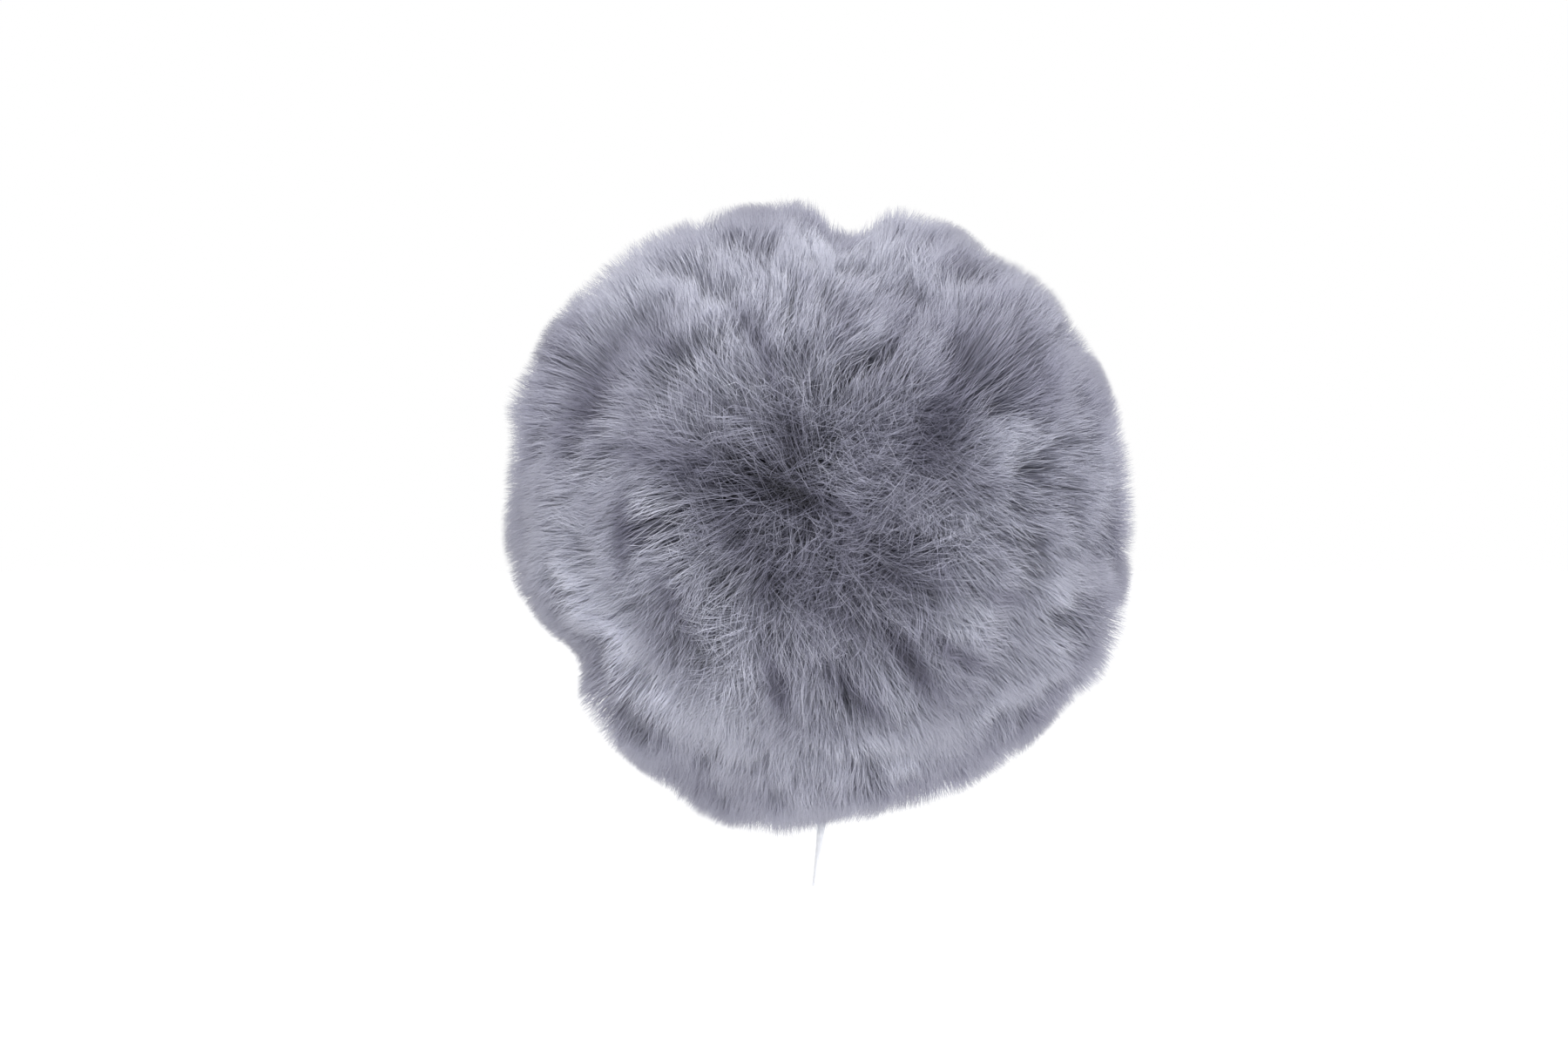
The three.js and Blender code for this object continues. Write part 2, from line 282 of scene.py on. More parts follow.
def turned(outline, segments=128, closed=True):
    """A shape turned about Y from points (radius, behind), in metres, as vertices and faces."""
    angles = np.arange(segments) * math.tau / segments
    vertices, rows = [], []
    for radius, behind in outline:
        first = len(vertices)
        if radius < 1e-7:
            vertices.append((0.0, behind, 0.0))
            rows.append([first])
        else:
            vertices += [(radius * math.cos(a), behind, radius * math.sin(a)) for a in angles]
            rows.append(list(range(first, first + segments)))
    return np.array(vertices), joined_rows(rows, segments, closed)


def strip(low, high):
    """Four-cornered faces between two rows of corners."""
    return [(low[k], low[k + 1], high[k + 1], high[k]) for k in range(len(low) - 1)]


def panel(outer, inner, angles_at):
    """A closed sheet of cloth between two lines of (radius, behind), over a range of angles."""
    lines = [np.array(outer), np.array(inner)]
    turns = [np.array([angles_at(radius) for radius, _ in line]) for line in lines]
    grids = [np.stack([line[:, :1] * np.cos(angles), np.repeat(line[:, 1:], angles.shape[1], 1),
                       line[:, :1] * np.sin(angles)], axis=2) for line, angles in zip(lines, turns)]
    rows, columns = turns[0].shape
    index = np.arange(2 * rows * columns).reshape(2, rows, columns)
    faces = []
    for side in index:
        for low, high in zip(side, side[1:]):
            faces += strip(low, high)
    for edge in (index[:, 0], index[:, -1], index[:, :, 0], index[:, :, -1]):
        faces += strip(*edge)
    run = np.repeat(along_line(lines[0]), columns)
    cross = ((turns[0] - turns[0].mean()) * lines[0][:, :1]).ravel()
    vertices = np.concatenate([grid.reshape(-1, 3) for grid in grids])
    return vertices, faces, {"run": np.tile(run, 2), "cross": np.tile(cross, 2)}


def merged(*shapes):
    """Several (vertices, faces) as one."""
    vertices, faces, first = [], [], 0
    for points, corners in shapes:
        vertices.append(points)
        faces += [tuple(i + first for i in face) for face in corners]
        first += len(points)
    return np.concatenate(vertices), faces


def curve_through(points, spacing):
    """A centripetal Catmull-Rom curve through the points, cut into even steps."""
    points = np.array(points, float)
    padded = np.vstack([2 * points[0] - points[1], points, 2 * points[-1] - points[-2]])
    dense = []
    for p0, p1, p2, p3 in zip(padded, padded[1:], padded[2:], padded[3:]):
        t1 = math.sqrt(np.linalg.norm(p1 - p0))
        t2 = t1 + math.sqrt(np.linalg.norm(p2 - p1))
        t3 = t2 + math.sqrt(np.linalg.norm(p3 - p2))
        for t in np.linspace(t1, t2, 16, endpoint=False):
            a1 = p0 * (t1 - t) / t1 + p1 * t / t1
            a2 = p1 * (t2 - t) / (t2 - t1) + p2 * (t - t1) / (t2 - t1)
            a3 = p2 * (t3 - t) / (t3 - t2) + p3 * (t - t2) / (t3 - t2)
            b1 = a1 * (t2 - t) / t2 + a2 * t / t2
            b2 = a2 * (t3 - t) / (t3 - t1) + a3 * (t - t1) / (t3 - t1)
            dense.append(b1 * (t2 - t) / (t2 - t1) + b2 * (t - t1) / (t2 - t1))
    dense = np.array(dense + [points[-1]])
    run = along_line(dense)
    even = np.linspace(0, run[-1], max(2, round(run[-1] / spacing)) + 1)
    return np.stack([np.interp(even, run, dense[:, k]) for k in range(3)], axis=1)


def drawn(points, radii, sides):
    """A round section drawn along the points. radii is one radius, one a ring, or one a corner."""
    ahead = unit(np.gradient(points, axis=0))
    side = unit(np.cross(ahead[0], ASKEW))
    across = []
    for way in ahead:
        side = unit(side - (side @ way) * way)
        across.append(side)
    across = np.array(across)
    other = np.cross(ahead, across)
    angles = np.arange(sides) * math.tau / sides
    if np.ndim(radii) < 2:
        radii = np.asarray(radii, float).reshape(-1, 1)
    radii = np.broadcast_to(radii, (len(points), sides))
    ring = (np.cos(angles)[None, :, None] * across[:, None]
            + np.sin(angles)[None, :, None] * other[:, None])
    vertices = (points[:, None] + ring * radii[:, :, None]).reshape(-1, 3)
    rows = [list(range(r * sides, (r + 1) * sides)) for r in range(len(points))]
    faces = joined_rows(rows, sides, closed=False)
    faces += [tuple(rows[0]), tuple(reversed(rows[-1]))]
    return vertices, faces


def cut(piece, cutter):
    """Takes the cutter's shape away from the piece, for good."""
    modifier = piece.modifiers.new("cut", "BOOLEAN")
    modifier.operation = "DIFFERENCE"
    modifier.solver = "EXACT"
    modifier.object = cutter
    bpy.context.view_layer.update()
    evaluated = piece.evaluated_get(bpy.context.evaluated_depsgraph_get())
    mesh = bpy.data.meshes.new_from_object(evaluated)
    piece.modifiers.clear()
    smoothed(mesh, SHARP)
    piece.data = mesh
    bpy.data.objects.remove(cutter)


# ---- materials ----


class Look:
    """A material's nodes, with a short way to add each kind and join it to the rest."""

    def __init__(self, name, roughness, specular=0.5, metallic=0.0):
        self.material = bpy.data.materials.new(name)
        self.material.use_nodes = True
        self.nodes = self.material.node_tree.nodes
        self.shader = self.nodes["Principled BSDF"]
        self.give("Roughness", roughness)
        self.give("Specular IOR Level", specular)
        self.give("Metallic", metallic)

    def put(self, socket, value):
        """Fills a socket with a number, a colour or another node's output."""
        if isinstance(value, bpy.types.NodeSocket):
            self.material.node_tree.links.new(value, socket)
        else:
            socket.default_value = (*value, 1) if isinstance(value, tuple) else value

    def give(self, name, value):
        self.put(self.shader.inputs[name], value)

    def math(self, operation, *values):
        node = self.nodes.new("ShaderNodeMath")
        node.operation = operation
        for socket, value in zip(node.inputs, values):
            self.put(socket, value)
        return node.outputs[0]

    def attribute(self, name):
        node = self.nodes.new("ShaderNodeAttribute")
        node.attribute_name = name
        return node.outputs["Fac"]

    def place(self):
        return self.nodes.new("ShaderNodeTexCoord").outputs["Object"]

    def ramp(self, factor, *stops):
        node = self.nodes.new("ShaderNodeValToRGB")
        while len(node.color_ramp.elements) < len(stops):
            node.color_ramp.elements.new(0.5)
        for element, (place, colour) in zip(node.color_ramp.elements, stops):
            element.position = place
            element.color = (*colour, 1)
        self.put(node.inputs["Fac"], factor)
        return node.outputs["Color"]

    def colour(self, factor, *stops):
        self.give("Base Color", self.ramp(factor, *stops))

    def mixed(self, factor, first, second, blend="MIX"):
        node = self.nodes.new("ShaderNodeMix")
        node.data_type = "RGBA"
        node.blend_type = blend
        for socket, value in ((0, factor), (6, first), (7, second)):
            self.put(node.inputs[socket], value)
        return node.outputs[2]

    def noise(self, size, detail=3.0):
        """Cloudy noise through the piece, whose lumps are about that size in metres."""
        node = self.nodes.new("ShaderNodeTexNoise")
        node.inputs["Scale"].default_value = 1 / size
        node.inputs["Detail"].default_value = detail
        self.put(node.inputs["Vector"], self.place())
        return node.outputs["Fac"]

    def threads(self, first, first_step, second, second_step):
        """Crossing threads: 1 on a thread's crown, 0 between threads."""
        a = self.math("SINE", self.math("MULTIPLY", first, math.tau / first_step))
        b = self.math("SINE", self.math("MULTIPLY", second, math.tau / second_step))
        return self.math("MULTIPLY_ADD", self.math("MULTIPLY", a, b), 0.5, 0.5)

    def clouded(self, pattern, share, size):
        """The pattern with its brightness partly replaced by cloudy noise."""
        return self.math("MULTIPLY_ADD", self.noise(size), share, self.math("MULTIPLY", pattern, 1 - share))

    def worn(self, cloud, dark, light, change, roughness):
        """Colour and roughness that follow the same cloudy wear."""
        self.colour(cloud, dark, light)
        self.give("Roughness", self.math("MULTIPLY_ADD", cloud, change, roughness))

    def bump(self, height, distance):
        node = self.nodes.new("ShaderNodeBump")
        node.inputs["Strength"].default_value = 1.0
        node.inputs["Distance"].default_value = distance
        self.put(node.inputs["Height"], height)
        self.give("Normal", node.outputs["Normal"])


def knit_material():
    """The fur's knitted backing, a grid of small loops."""
    look = Look("knit_backing", roughness=0.95, specular=0.1)
    loops = look.threads(look.attribute("run"), 1.1 * MM, look.attribute("cross"), 1.4 * MM)
    look.colour(look.clouded(loops, 0.5, 9 * MM), (0.2, (0.055, 0.055, 0.07)), (0.8, (0.17, 0.17, 0.21)))
    look.bump(loops, 0.25 * MM)
    return look.material


def twill_material():
    """Dark tape with a fine diagonal rib and a little lint."""
    look = Look("twill_tape", roughness=0.8, specular=0.3)
    run, cross = look.attribute("run"), look.attribute("cross")
    rib = look.threads(look.math("ADD", run, cross), 0.7 * MM, look.math("SUBTRACT", run, cross), 2.1 * MM)
    look.colour(look.clouded(rib, 0.4, 4 * MM), (0.15, (0.018, 0.018, 0.022)), (0.85, (0.075, 0.075, 0.085)))
    look.bump(rib, 0.12 * MM)
    return look.material


def grosgrain_material():
    """The hem's bound edge, with fine ribs crossing the ring."""
    look = Look("hem_grosgrain", roughness=0.85, specular=0.25)
    place = look.nodes.new("ShaderNodeSeparateXYZ")
    look.put(place.inputs[0], look.place())
    x, y, z = (place.outputs[axis] for axis in "XYZ")
    square = look.math("ADD", look.math("POWER", x, 2.0), look.math("POWER", z, 2.0))
    depth = look.math("ADD", look.math("SQRT", square), y)
    ribs = 260
    rib = look.threads(look.math("ARCTAN2", z, x), math.tau / ribs, depth, 1.1 * MM)
    look.colour(look.clouded(rib, 0.45, 3 * MM), (0.15, (0.05, 0.05, 0.064)), (0.85, (0.17, 0.17, 0.205)))
    look.bump(rib, 0.12 * MM)
    return look.material


def foam_material():
    """Charcoal open-cell foam: painted shade darkens each pore's middle, between lighter struts."""
    look = Look("open_cell_foam", roughness=1.0, specular=0.1)
    cells = look.nodes.new("ShaderNodeTexVoronoi")
    cells.feature = "DISTANCE_TO_EDGE"
    cells.inputs["Scale"].default_value = 1 / (0.9 * MM)
    look.put(cells.inputs["Vector"], look.place())
    edge = cells.outputs["Distance"]
    tint = look.mixed(look.noise(14 * MM), (0.055, 0.055, 0.062), (0.085, 0.085, 0.095))
    # painted shade: full colour on the struts, darkening towards each pore's middle
    painted_pore_shade = look.ramp(edge, (0.0, (1, 1, 1)), (0.16, (0.7, 0.7, 0.7)), (0.42, (0.12, 0.12, 0.13)))
    look.give("Base Color", look.mixed(1.0, tint, painted_pore_shade, "MULTIPLY"))
    look.bump(look.math("SUBTRACT", 1.0, edge), 0.5 * MM)
    return look.material


def rubber_material():
    """Soft black rubber with a fine matt skin and paler dust in places."""
    look = Look("grip_rubber", roughness=0.62, specular=0.45)
    look.worn(look.noise(6 * MM, 6.0), (0.35, (0.012, 0.012, 0.013)), (0.75, (0.034, 0.034, 0.036)),
              0.3, 0.45)
    look.bump(look.noise(0.25 * MM, 2.0), 0.03 * MM)
    return look.material


def plastic_material(name, dark, light, roughness):
    """Moulded plastic with a fine spark-eroded grain, a little polished in places."""
    look = Look(name, roughness)
    look.worn(look.noise(3 * MM, 5.0), (0.3, dark), (0.75, light), -0.2, roughness + 0.1)
    look.bump(look.noise(0.18 * MM, 2.0), 0.02 * MM)
    return look.material


def steel_material(name, roughness):
    """Bright nickel-plated steel with faint drawn streaks."""
    look = Look(name, roughness, metallic=1.0)
    look.worn(look.noise(0.8 * MM, 6.0), (0.3, (0.50, 0.50, 0.51)), (0.7, (0.68, 0.68, 0.69)),
              0.2, roughness - 0.08)
    return look.material


def cord_material():
    """Pale braided cord, with painted shade that makes it darker and bluer between its strands."""
    look = Look("cord_braid", roughness=0.75, specular=0.3)
    look.give("Sheen Weight", 0.2)
    # painted shade: the colour darkens where the strands' relief is low
    shade = look.clouded(look.attribute("relief"), 0.25, 2 * MM)
    look.colour(shade, (0.1, (0.30, 0.315, 0.37)), (0.5, (0.58, 0.595, 0.64)), (0.9, (0.74, 0.75, 0.78)))
    return look.material


# ---- cords ----

CORD_LOOK = cord_material()
CORD_RADIUS = 0.9 * MM
CORD_STRANDS = 4
CORD_LAY = 3.2 * MM  # how far along the cord a strand goes in one turn
WORN_RELIEF = 0.95  # how pale the cord is where it is worn
FIBRES = 130  # in the frayed end
RIGHT_ROUTE = [
    (3.47, -26.5, -17.87), (3.47, -24.7, -17.95), (3.46, -22.6, -18.5), (3.43, -20.4, -19.9),
    (3.37, -18.0, -21.7), (3.28, -15.2, -23.3), (3.1, -12.0, -24.3), (2.8, -8.8, -25.0),
    (2.4, -5.8, -25.7), (2.0, -3.0, -26.9), (1.6, -0.6, -28.8), (1.3, 1.3, -31.4),
    (1.12, 2.5, -34.5), (1.05, 3.0, -38.0), (1.05, 3.0, -42.0), (1.05, 3.0, -47.0),
    (1.05, 3.0, -52.0), (1.05, 3.0, -57.0), (1.05, 3.0, -60.5), (0.9, 3.0, -64.0),
    (0.45, 3.0, -68.0), (-0.15, 3.0, -72.3), (-0.7, 3.0, -76.5),
]
# The left tail mirrors the right one as far as the two hang straight, and ends just below that.
LEFT_ROUTE = [(-x, y, z) for x, y, z in RIGHT_ROUTE[:19]] + [(-1.1, 3.0, -62.5)]


def braided(points, taper_length, tip_share):
    """A braided cord along the points, thinner over its last stretch, with its strands' relief, which its
    material also paints as shade between the strands.
    """
    sides = 24
    run = along_line(points)
    around = CORD_STRANDS * np.arange(sides) * math.tau / sides
    lead = run[:, None] * math.tau / CORD_LAY
    # relief: 1 on a strand's crown, 0 between strands, where the cord's material paints shade
    relief = 0.5 + 0.5 * np.sin(around[None] + lead) * np.sin(around[None] - lead)
    taper_start = run[-1] - taper_length
    thick = 1 - (1 - tip_share) * smoothstep(taper_start, run[-1], run)
    radii = CORD_RADIUS * thick[:, None] * (0.93 + 0.1 * relief)
    worn = smoothstep(taper_start, run[-1] - 0.4 * taper_length, run)[:, None]
    vertices, faces = drawn(points, radii, sides)
    return vertices, faces, {"relief": (relief + (WORN_RELIEF - relief) * worn).ravel()}


def frayed_end(path, rng):
    """Loose fibres round the cord's last stretch, drawn together into a thin tip."""
    fibres = []
    for _ in range(FIBRES):
        start = int(rng.uniform(0.80, 0.92) * len(path))
        stretch = path[start::4]
        left = stretch[:, 2] - path[-1, 2]  # how far above the tip
        t = np.linspace(0, 1, len(stretch))
        angle, spread = rng.uniform(0, math.tau), rng.uniform(0.2, 1.0) ** 0.7
        flare = 0.16 * MM + 0.035 * left + 0.6 * MM * smoothstep(7.5 * MM, 14 * MM, left)
        flare *= spread * (0.85 + 0.15 * np.sin(t * math.pi * rng.uniform(1, 4)))
        points = stretch + np.stack([flare * math.cos(angle), flare * math.sin(angle), 0 * t], axis=1)
        radii = rng.uniform(0.05, 0.09) * MM * (1 - 0.6 * t)
        fibres.append(drawn(points, radii, 4))
    return merged(*fibres)


def add_cord(side, path, taper_length, tip_share):
    piece = shaped(f"braided_cord_{side}", *braided(path, taper_length, tip_share), sharp=80)
    dressed(piece, CORD_LOOK, "cord", f"cord_tail_{side}")


def add_cords():
    right, left = (curve_through(np.array(route) * MM, 0.2 * MM) for route in (RIGHT_ROUTE, LEFT_ROUTE))
    vertices, faces = frayed_end(right, np.random.default_rng(7))
    paler = 0.25 + 0.7 * smoothstep(62 * MM, 70 * MM, -vertices[:, 2])
    fray = dressed(shaped("cord_frayed_end", vertices, faces, {"relief": paler}), CORD_LOOK, "cord")
    add_cord("right", right, 16 * MM, 0.3)
    add_cord("left", left, 3 * MM, 0.8)


add_cords()

# ---- foam, hub and collar ----

FOAM_FRONT, FOAM_FLAT = y_ends("foam_core")
FOAM_RADIUS = -FOAM_FRONT
BORE_RADIUS = 10.5 * MM
BORE_END = -8 * MM
HUB_TUBE = (13.8 * MM, 15.2 * MM)
HUB_FRONT, HUB_REAR = y_ends("hub_ring")
HUB_FLANGE = 21.5 * MM
CASING_INNER, CASING_OUTER = 15.2 * MM, 21.2 * MM
CASING_FRONT, CASING_REAR = y_ends("hem_casing")
CORD_CIRCLE = (CASING_INNER + CASING_OUTER) / 2
CORD_PLANE = (CASING_FRONT + CASING_REAR) / 2
COLLAR_RIBS = 3


def add_foam():
    edge = math.degrees(math.asin(FOAM_FLAT / FOAM_RADIUS))
    socket = HUB_TUBE[1] + CLEAR
    outline = np.vstack([
        [(0.0, -FOAM_RADIUS)],
        arc(FOAM_RADIUS, -90, edge, 90)[1:],
        [(socket, FOAM_FLAT), (socket, HUB_FRONT - CLEAR), (BORE_RADIUS, HUB_FRONT - CLEAR),
         (BORE_RADIUS, BORE_END), (0.0, BORE_END)],
    ])
    outline = filled_in(rounded(outline, 0.5 * MM, closed=False, steps=2), 0.9 * MM, closed=False)
    vertices, faces = turned(outline, 132, closed=False)
    vertices = vertices + np.random.default_rng(31).normal(0, 0.07 * MM, vertices.shape)
    dressed(shaped("open_cell_foam_ball", vertices + CENTRE, faces, sharp=180), foam_material(), "foam",
            "foam_core")


def add_hub():
    tube_in, tube_out = HUB_TUBE
    flange_front, flange_rear = FOAM_FLAT + CLEAR, CASING_FRONT - CLEAR
    neck, lip = CASING_INNER - CLEAR, CASING_INNER + 0.5 * MM
    lip_front = CASING_REAR + CLEAR
    outline = [(tube_in, HUB_FRONT), (tube_out, HUB_FRONT), (tube_out, flange_front),
               (HUB_FLANGE, flange_front), (HUB_FLANGE, flange_rear), (neck, flange_rear),
               (neck, lip_front), (lip, lip_front + 0.6 * MM), (lip, HUB_REAR), (tube_in, HUB_REAR)]
    vertices, faces = turned(rounded(outline, 0.3 * MM))
    look = plastic_material("hub_plastic", (0.016, 0.016, 0.018), (0.034, 0.034, 0.037), 0.42)
    dressed(shaped("moulded_hub_ring", vertices + CENTRE, faces), look, "hub_plastic", "hub_ring")


def add_collar():
    """The rubber collar, with three soft grip ribs and a bevelled mouth."""
    front = y_ends("grip_collar")[0]
    shoulder = HUB_REAR + CLEAR
    grip_front, flange_front = shoulder + 3 * MM, BACK - 4 * MM
    valley, crest = 13.9 * MM, 14.9 * MM
    pitch = (flange_front - grip_front) / COLLAR_RIBS
    outline = [(13.5 * MM, front), (13.5 * MM, shoulder), (16 * MM, shoulder),
               (16 * MM, grip_front - 0.8 * MM), (15.2 * MM, grip_front)]
    for i in range(COLLAR_RIBS):
        start = grip_front + i * pitch
        outline += [(valley, start + 0.6 * MM), (valley, start + 0.35 * pitch),
                    (crest, start + 0.5 * pitch), (crest, start + pitch - 0.5 * MM)]
    outline += [(15.9 * MM, flange_front), (16.5 * MM, flange_front + 0.8 * MM),
                (16.5 * MM, BACK - 0.8 * MM), (15.7 * MM, BACK), (BORE_RADIUS + 1.5 * MM, BACK),
                (BORE_RADIUS, BACK - 1.5 * MM), (BORE_RADIUS, front)]
    vertices, faces = turned(rounded(outline, 0.55 * MM, steps=5), 144)
    dressed(shaped("rubber_grip_collar", vertices + CENTRE, faces), rubber_material(), "grip_rubber",
            "grip_collar")


add_foam()
add_hub()
add_collar()

# ---- the cover's backing, tapes and hem ----

SEAMS = [FIRST_SEAM + i * SEAM_STEP for i in range(len(GORES))]
HEM_END = math.degrees(HEM_ANGLE) - 90  # the backing's rear edge, in arc's degrees
BACKING_THICKNESS = 0.8 * MM
TAPE_THICKNESS = 0.6 * MM
TAPE_WIDTH = 7 * MM
TAPE_START = 7.9 * MM
CROWN_TAB_RADIUS = 7.4 * MM
PLEATS = 42
CHANNEL_RADIUS = 1.45 * MM
HEM_CORNER = 2.52 * MM
HEM_GATHER = 0.45 * MM
BACKING_GATHER = 0.5 * MM
CORD_HOLE_RADIUS = 1.7 * MM
STITCH_LENGTH = 2.6 * MM
STITCH_OFFSET = 2.2 * MM  # from the channel's middle


def eyelet_place(side):
    """Where an eyelet's axis crosses the plane through the ball's centre."""
    low, high = (np.array(corner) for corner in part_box(f"eyelet_{side}"))
    middle = (low + high) / 2
    return np.array([middle[0], CENTRE[1], middle[2]])


EYELETS = {side: eyelet_place(side) for side in ("right", "left")}


def pleated(vertices, depth):
    """Draws cloth in towards the cord's circle along the hem's uneven gathers."""
    angle = np.arctan2(vertices[:, 2], vertices[:, 0])
    valley = 0.5 + 0.5 * np.sin(PLEATS * angle + 1.6 * np.sin(5 * angle + 1) + 0.8 * np.sin(11 * angle))
    radius = np.hypot(vertices[:, 0], vertices[:, 2])
    outward = np.stack([(radius - CORD_CIRCLE) * np.cos(angle), vertices[:, 1] - CORD_PLANE,
                        (radius - CORD_CIRCLE) * np.sin(angle)], axis=1)
    far = smoothstep(CHANNEL_RADIUS, CHANNEL_RADIUS + 1.2 * MM, np.linalg.norm(outward, axis=1))
    return vertices - unit(outward) * (depth * far * valley ** 1.5)[:, None]


def backing_lines():
    """The backing's outer and inner lines, from the crown to the hem, with as many points each."""
    lines = []
    for lift, behind in ((BACKING_THICKNESS, BACKING_THICKNESS), (0.05 * MM, 0.0)):
        line = arc(SKIN_RADIUS + lift, -89, HEM_END, 72)
        rim = [(CASING_OUTER + 1.1 * MM, CASING_FRONT + 0.5 * MM + behind),
               (CASING_OUTER + 0.15 * MM, CASING_FRONT + 1.1 * MM + behind)]
        lines.append(filled_in(np.vstack([line, rim]), 0.8 * MM, closed=False))
    rows = min(len(line) for line in lines)
    return [line[np.round(np.linspace(0, len(line) - 1, rows)).astype(int)] for line in lines]


def add_backing():
    """Each gore's knitted backing, from the crown to the hem, with a pleated edge at the hem."""
    look = knit_material()
    lines = backing_lines()
    inset = 0.15 * MM
    for node, seam in zip(GORES, SEAMS):

        def angles_at(radius, seam=seam):
            edge = inset / radius
            return np.linspace(seam + edge, seam + SEAM_STEP - edge, 57)

        vertices, faces, attributes = panel(*lines, angles_at)
        near_hem = smoothstep(24 * MM, 27.5 * MM, vertices[:, 1])[:, None]
        vertices = vertices + (pleated(vertices, BACKING_GATHER) - vertices) * near_hem
        piece = shaped(f"{node}_backing", vertices + CENTRE, faces, attributes, sharp=60)
        dressed(piece, look, "fur", node)


def add_tapes():
    look = twill_material()
    outer = SKIN_RADIUS - CLEAR
    inner = outer - TAPE_THICKNESS + 0.05 * MM
    first = -math.degrees(math.acos(TAPE_START / outer))
    lines = [arc(radius, first, HEM_END, 70) for radius in (outer, inner)]
    for i, seam in enumerate(SEAMS, 1):

        def angles_at(radius, seam=seam):
            half = math.asin(TAPE_WIDTH / 2 / max(radius, TAPE_START))
            return seam + np.linspace(-half, half, 9)

        vertices, faces, attributes = panel(*lines, angles_at)
        dressed(shaped(f"twill_tape_{i}", vertices + CENTRE, faces, attributes), look, "seam_tape",
                f"seam_tape_{i}")
    reach = math.degrees(math.asin(CROWN_TAB_RADIUS / outer))
    outline = np.vstack([arc(outer, -90, -90 + reach, 14), arc(inner, -90 + reach, -90, 14)])
    outline[[0, -1], 0] = 0.0
    vertices, faces = turned(outline, 72, closed=False)
    attributes = {"run": vertices[:, 2], "cross": vertices[:, 0]}
    dressed(shaped("twill_crown_tab", vertices + CENTRE, faces, attributes), look, "seam_tape",
            "crown_tab")


def add_hem():
    """The folded hem with its drawcord channel, gathers and two cord holes."""
    boxed = [(CASING_INNER, CASING_FRONT), (CASING_OUTER, CASING_FRONT), (CASING_OUTER, CASING_REAR),
             (CASING_INNER, CASING_REAR)]
    outline = filled_in(rounded(boxed, HEM_CORNER, steps=6), 0.5 * MM)
    channel = arc(CHANNEL_RADIUS, 0, 345, 23, (CORD_CIRCLE, CORD_PLANE))
    shell = turned(outline, 336)
    vertices, faces = merged((pleated(shell[0], HEM_GATHER), shell[1]), turned(channel, 168))
    piece = shaped("gathered_hem", vertices + CENTRE, faces, sharp=60)
    past_rear = CASING_REAR + 2 * MM
    hole = turned([(0.0, CORD_PLANE), (CORD_HOLE_RADIUS, CORD_PLANE), (CORD_HOLE_RADIUS, past_rear),
                   (0.0, past_rear)], 32, closed=False)
    for place in EYELETS.values():
        cut(piece, shaped("hole", hole[0] + place, hole[1]))
    dressed(piece, grosgrain_material(), "hem_cloth", "hem_casing")


def stitch(start, end):
    """One thread from hole to hole, lifted in its middle."""
    t = np.linspace(0, 1, 9)
    lift = np.array([0, 0.12 * MM, 0])
    points = start + (end - start) * t[:, None] + lift * np.sin(math.pi * t)[:, None]
    return drawn(points, 0.17 * MM * (0.55 + 0.45 * np.sin(math.pi * np.clip(t, 0.06, 0.94))), 8)


def add_hem_stitches():
    """Two rows of stitches round the hem's rear face, one each side of the channel."""
    threads = []
    for radius in (CORD_CIRCLE + STITCH_OFFSET, CORD_CIRCLE - STITCH_OFFSET):
        count = round(math.tau * radius / STITCH_LENGTH)
        for k in range(count):
            angles = math.tau * (k + np.array([0.14, 0.86])) / count
            ends = [radius * np.cos(angles), np.full(2, CASING_REAR), radius * np.sin(angles)]
            threads.append(stitch(*pleated(np.stack(ends, axis=1), HEM_GATHER)))
    vertices, faces = merged(*threads)
    relief = {"relief": np.full(len(vertices), 0.25)}
    dressed(shaped("hem_stitches", vertices + CENTRE, faces, relief, sharp=80), CORD_LOOK, "cord")


def add_drawcord():
    """The cord inside the hem's channel, with its ends turned rearwards into the eyelets."""
    bend_radius = 2 * MM
    turn = bend_radius / CORD_CIRCLE
    right, left = (math.atan2(EYELETS[side][2], EYELETS[side][0]) for side in ("right", "left"))
    if left < right:
        left += math.tau
    end = RIGHT_ROUTE[0][1] * MM + BACK - CLEAR

    def on_circle(angle, behind=CORD_PLANE):
        return (CORD_CIRCLE * math.cos(angle), behind, CORD_CIRCLE * math.sin(angle))

    bends = [(turn * (1 - math.sin(a)), CORD_PLANE + bend_radius * (1 - math.cos(a)))
             for a in np.radians([90, 60, 30])]
    points = [on_circle(right, end)] + [on_circle(right + offset, y) for offset, y in bends]
    points += [on_circle(a) for a in np.linspace(right + turn, left - turn, 21)]
    points += [on_circle(left - offset, y) for offset, y in reversed(bends)] + [on_circle(left, end)]
    vertices, faces, attributes = braided(curve_through(points, 0.25 * MM), 1 * MM, 1.0)
    dressed(shaped("braided_hem_drawcord", vertices + CENTRE, faces, attributes, sharp=80),
            CORD_LOOK, "cord", "hem_drawcord")


def add_eyelets():
    """Rolled steel eyelets."""
    look = steel_material("eyelet_steel", 0.3)
    bore, tube, flange = 1.2 * MM, 1.55 * MM, 2.1 * MM
    front = CORD_PLANE + CHANNEL_RADIUS + CLEAR
    flange_front, flange_rear = CASING_REAR + CLEAR, CASING_REAR + CLEAR + 0.5 * MM
    outline = [(bore, front), (tube, front), (tube, flange_front), (flange, flange_front),
               (flange, flange_rear), (bore, flange_rear)]
    vertices, faces = turned(rounded(outline, 0.24 * MM, steps=6), 48)
    for side, place in EYELETS.items():
        dressed(shaped(f"rolled_eyelet_{side}", vertices + place, faces), look, "steel", f"eyelet_{side}")


add_backing()
add_tapes()
add_hem()
add_hem_stitches()
add_drawcord()
add_eyelets()

# ---- cord lock ----

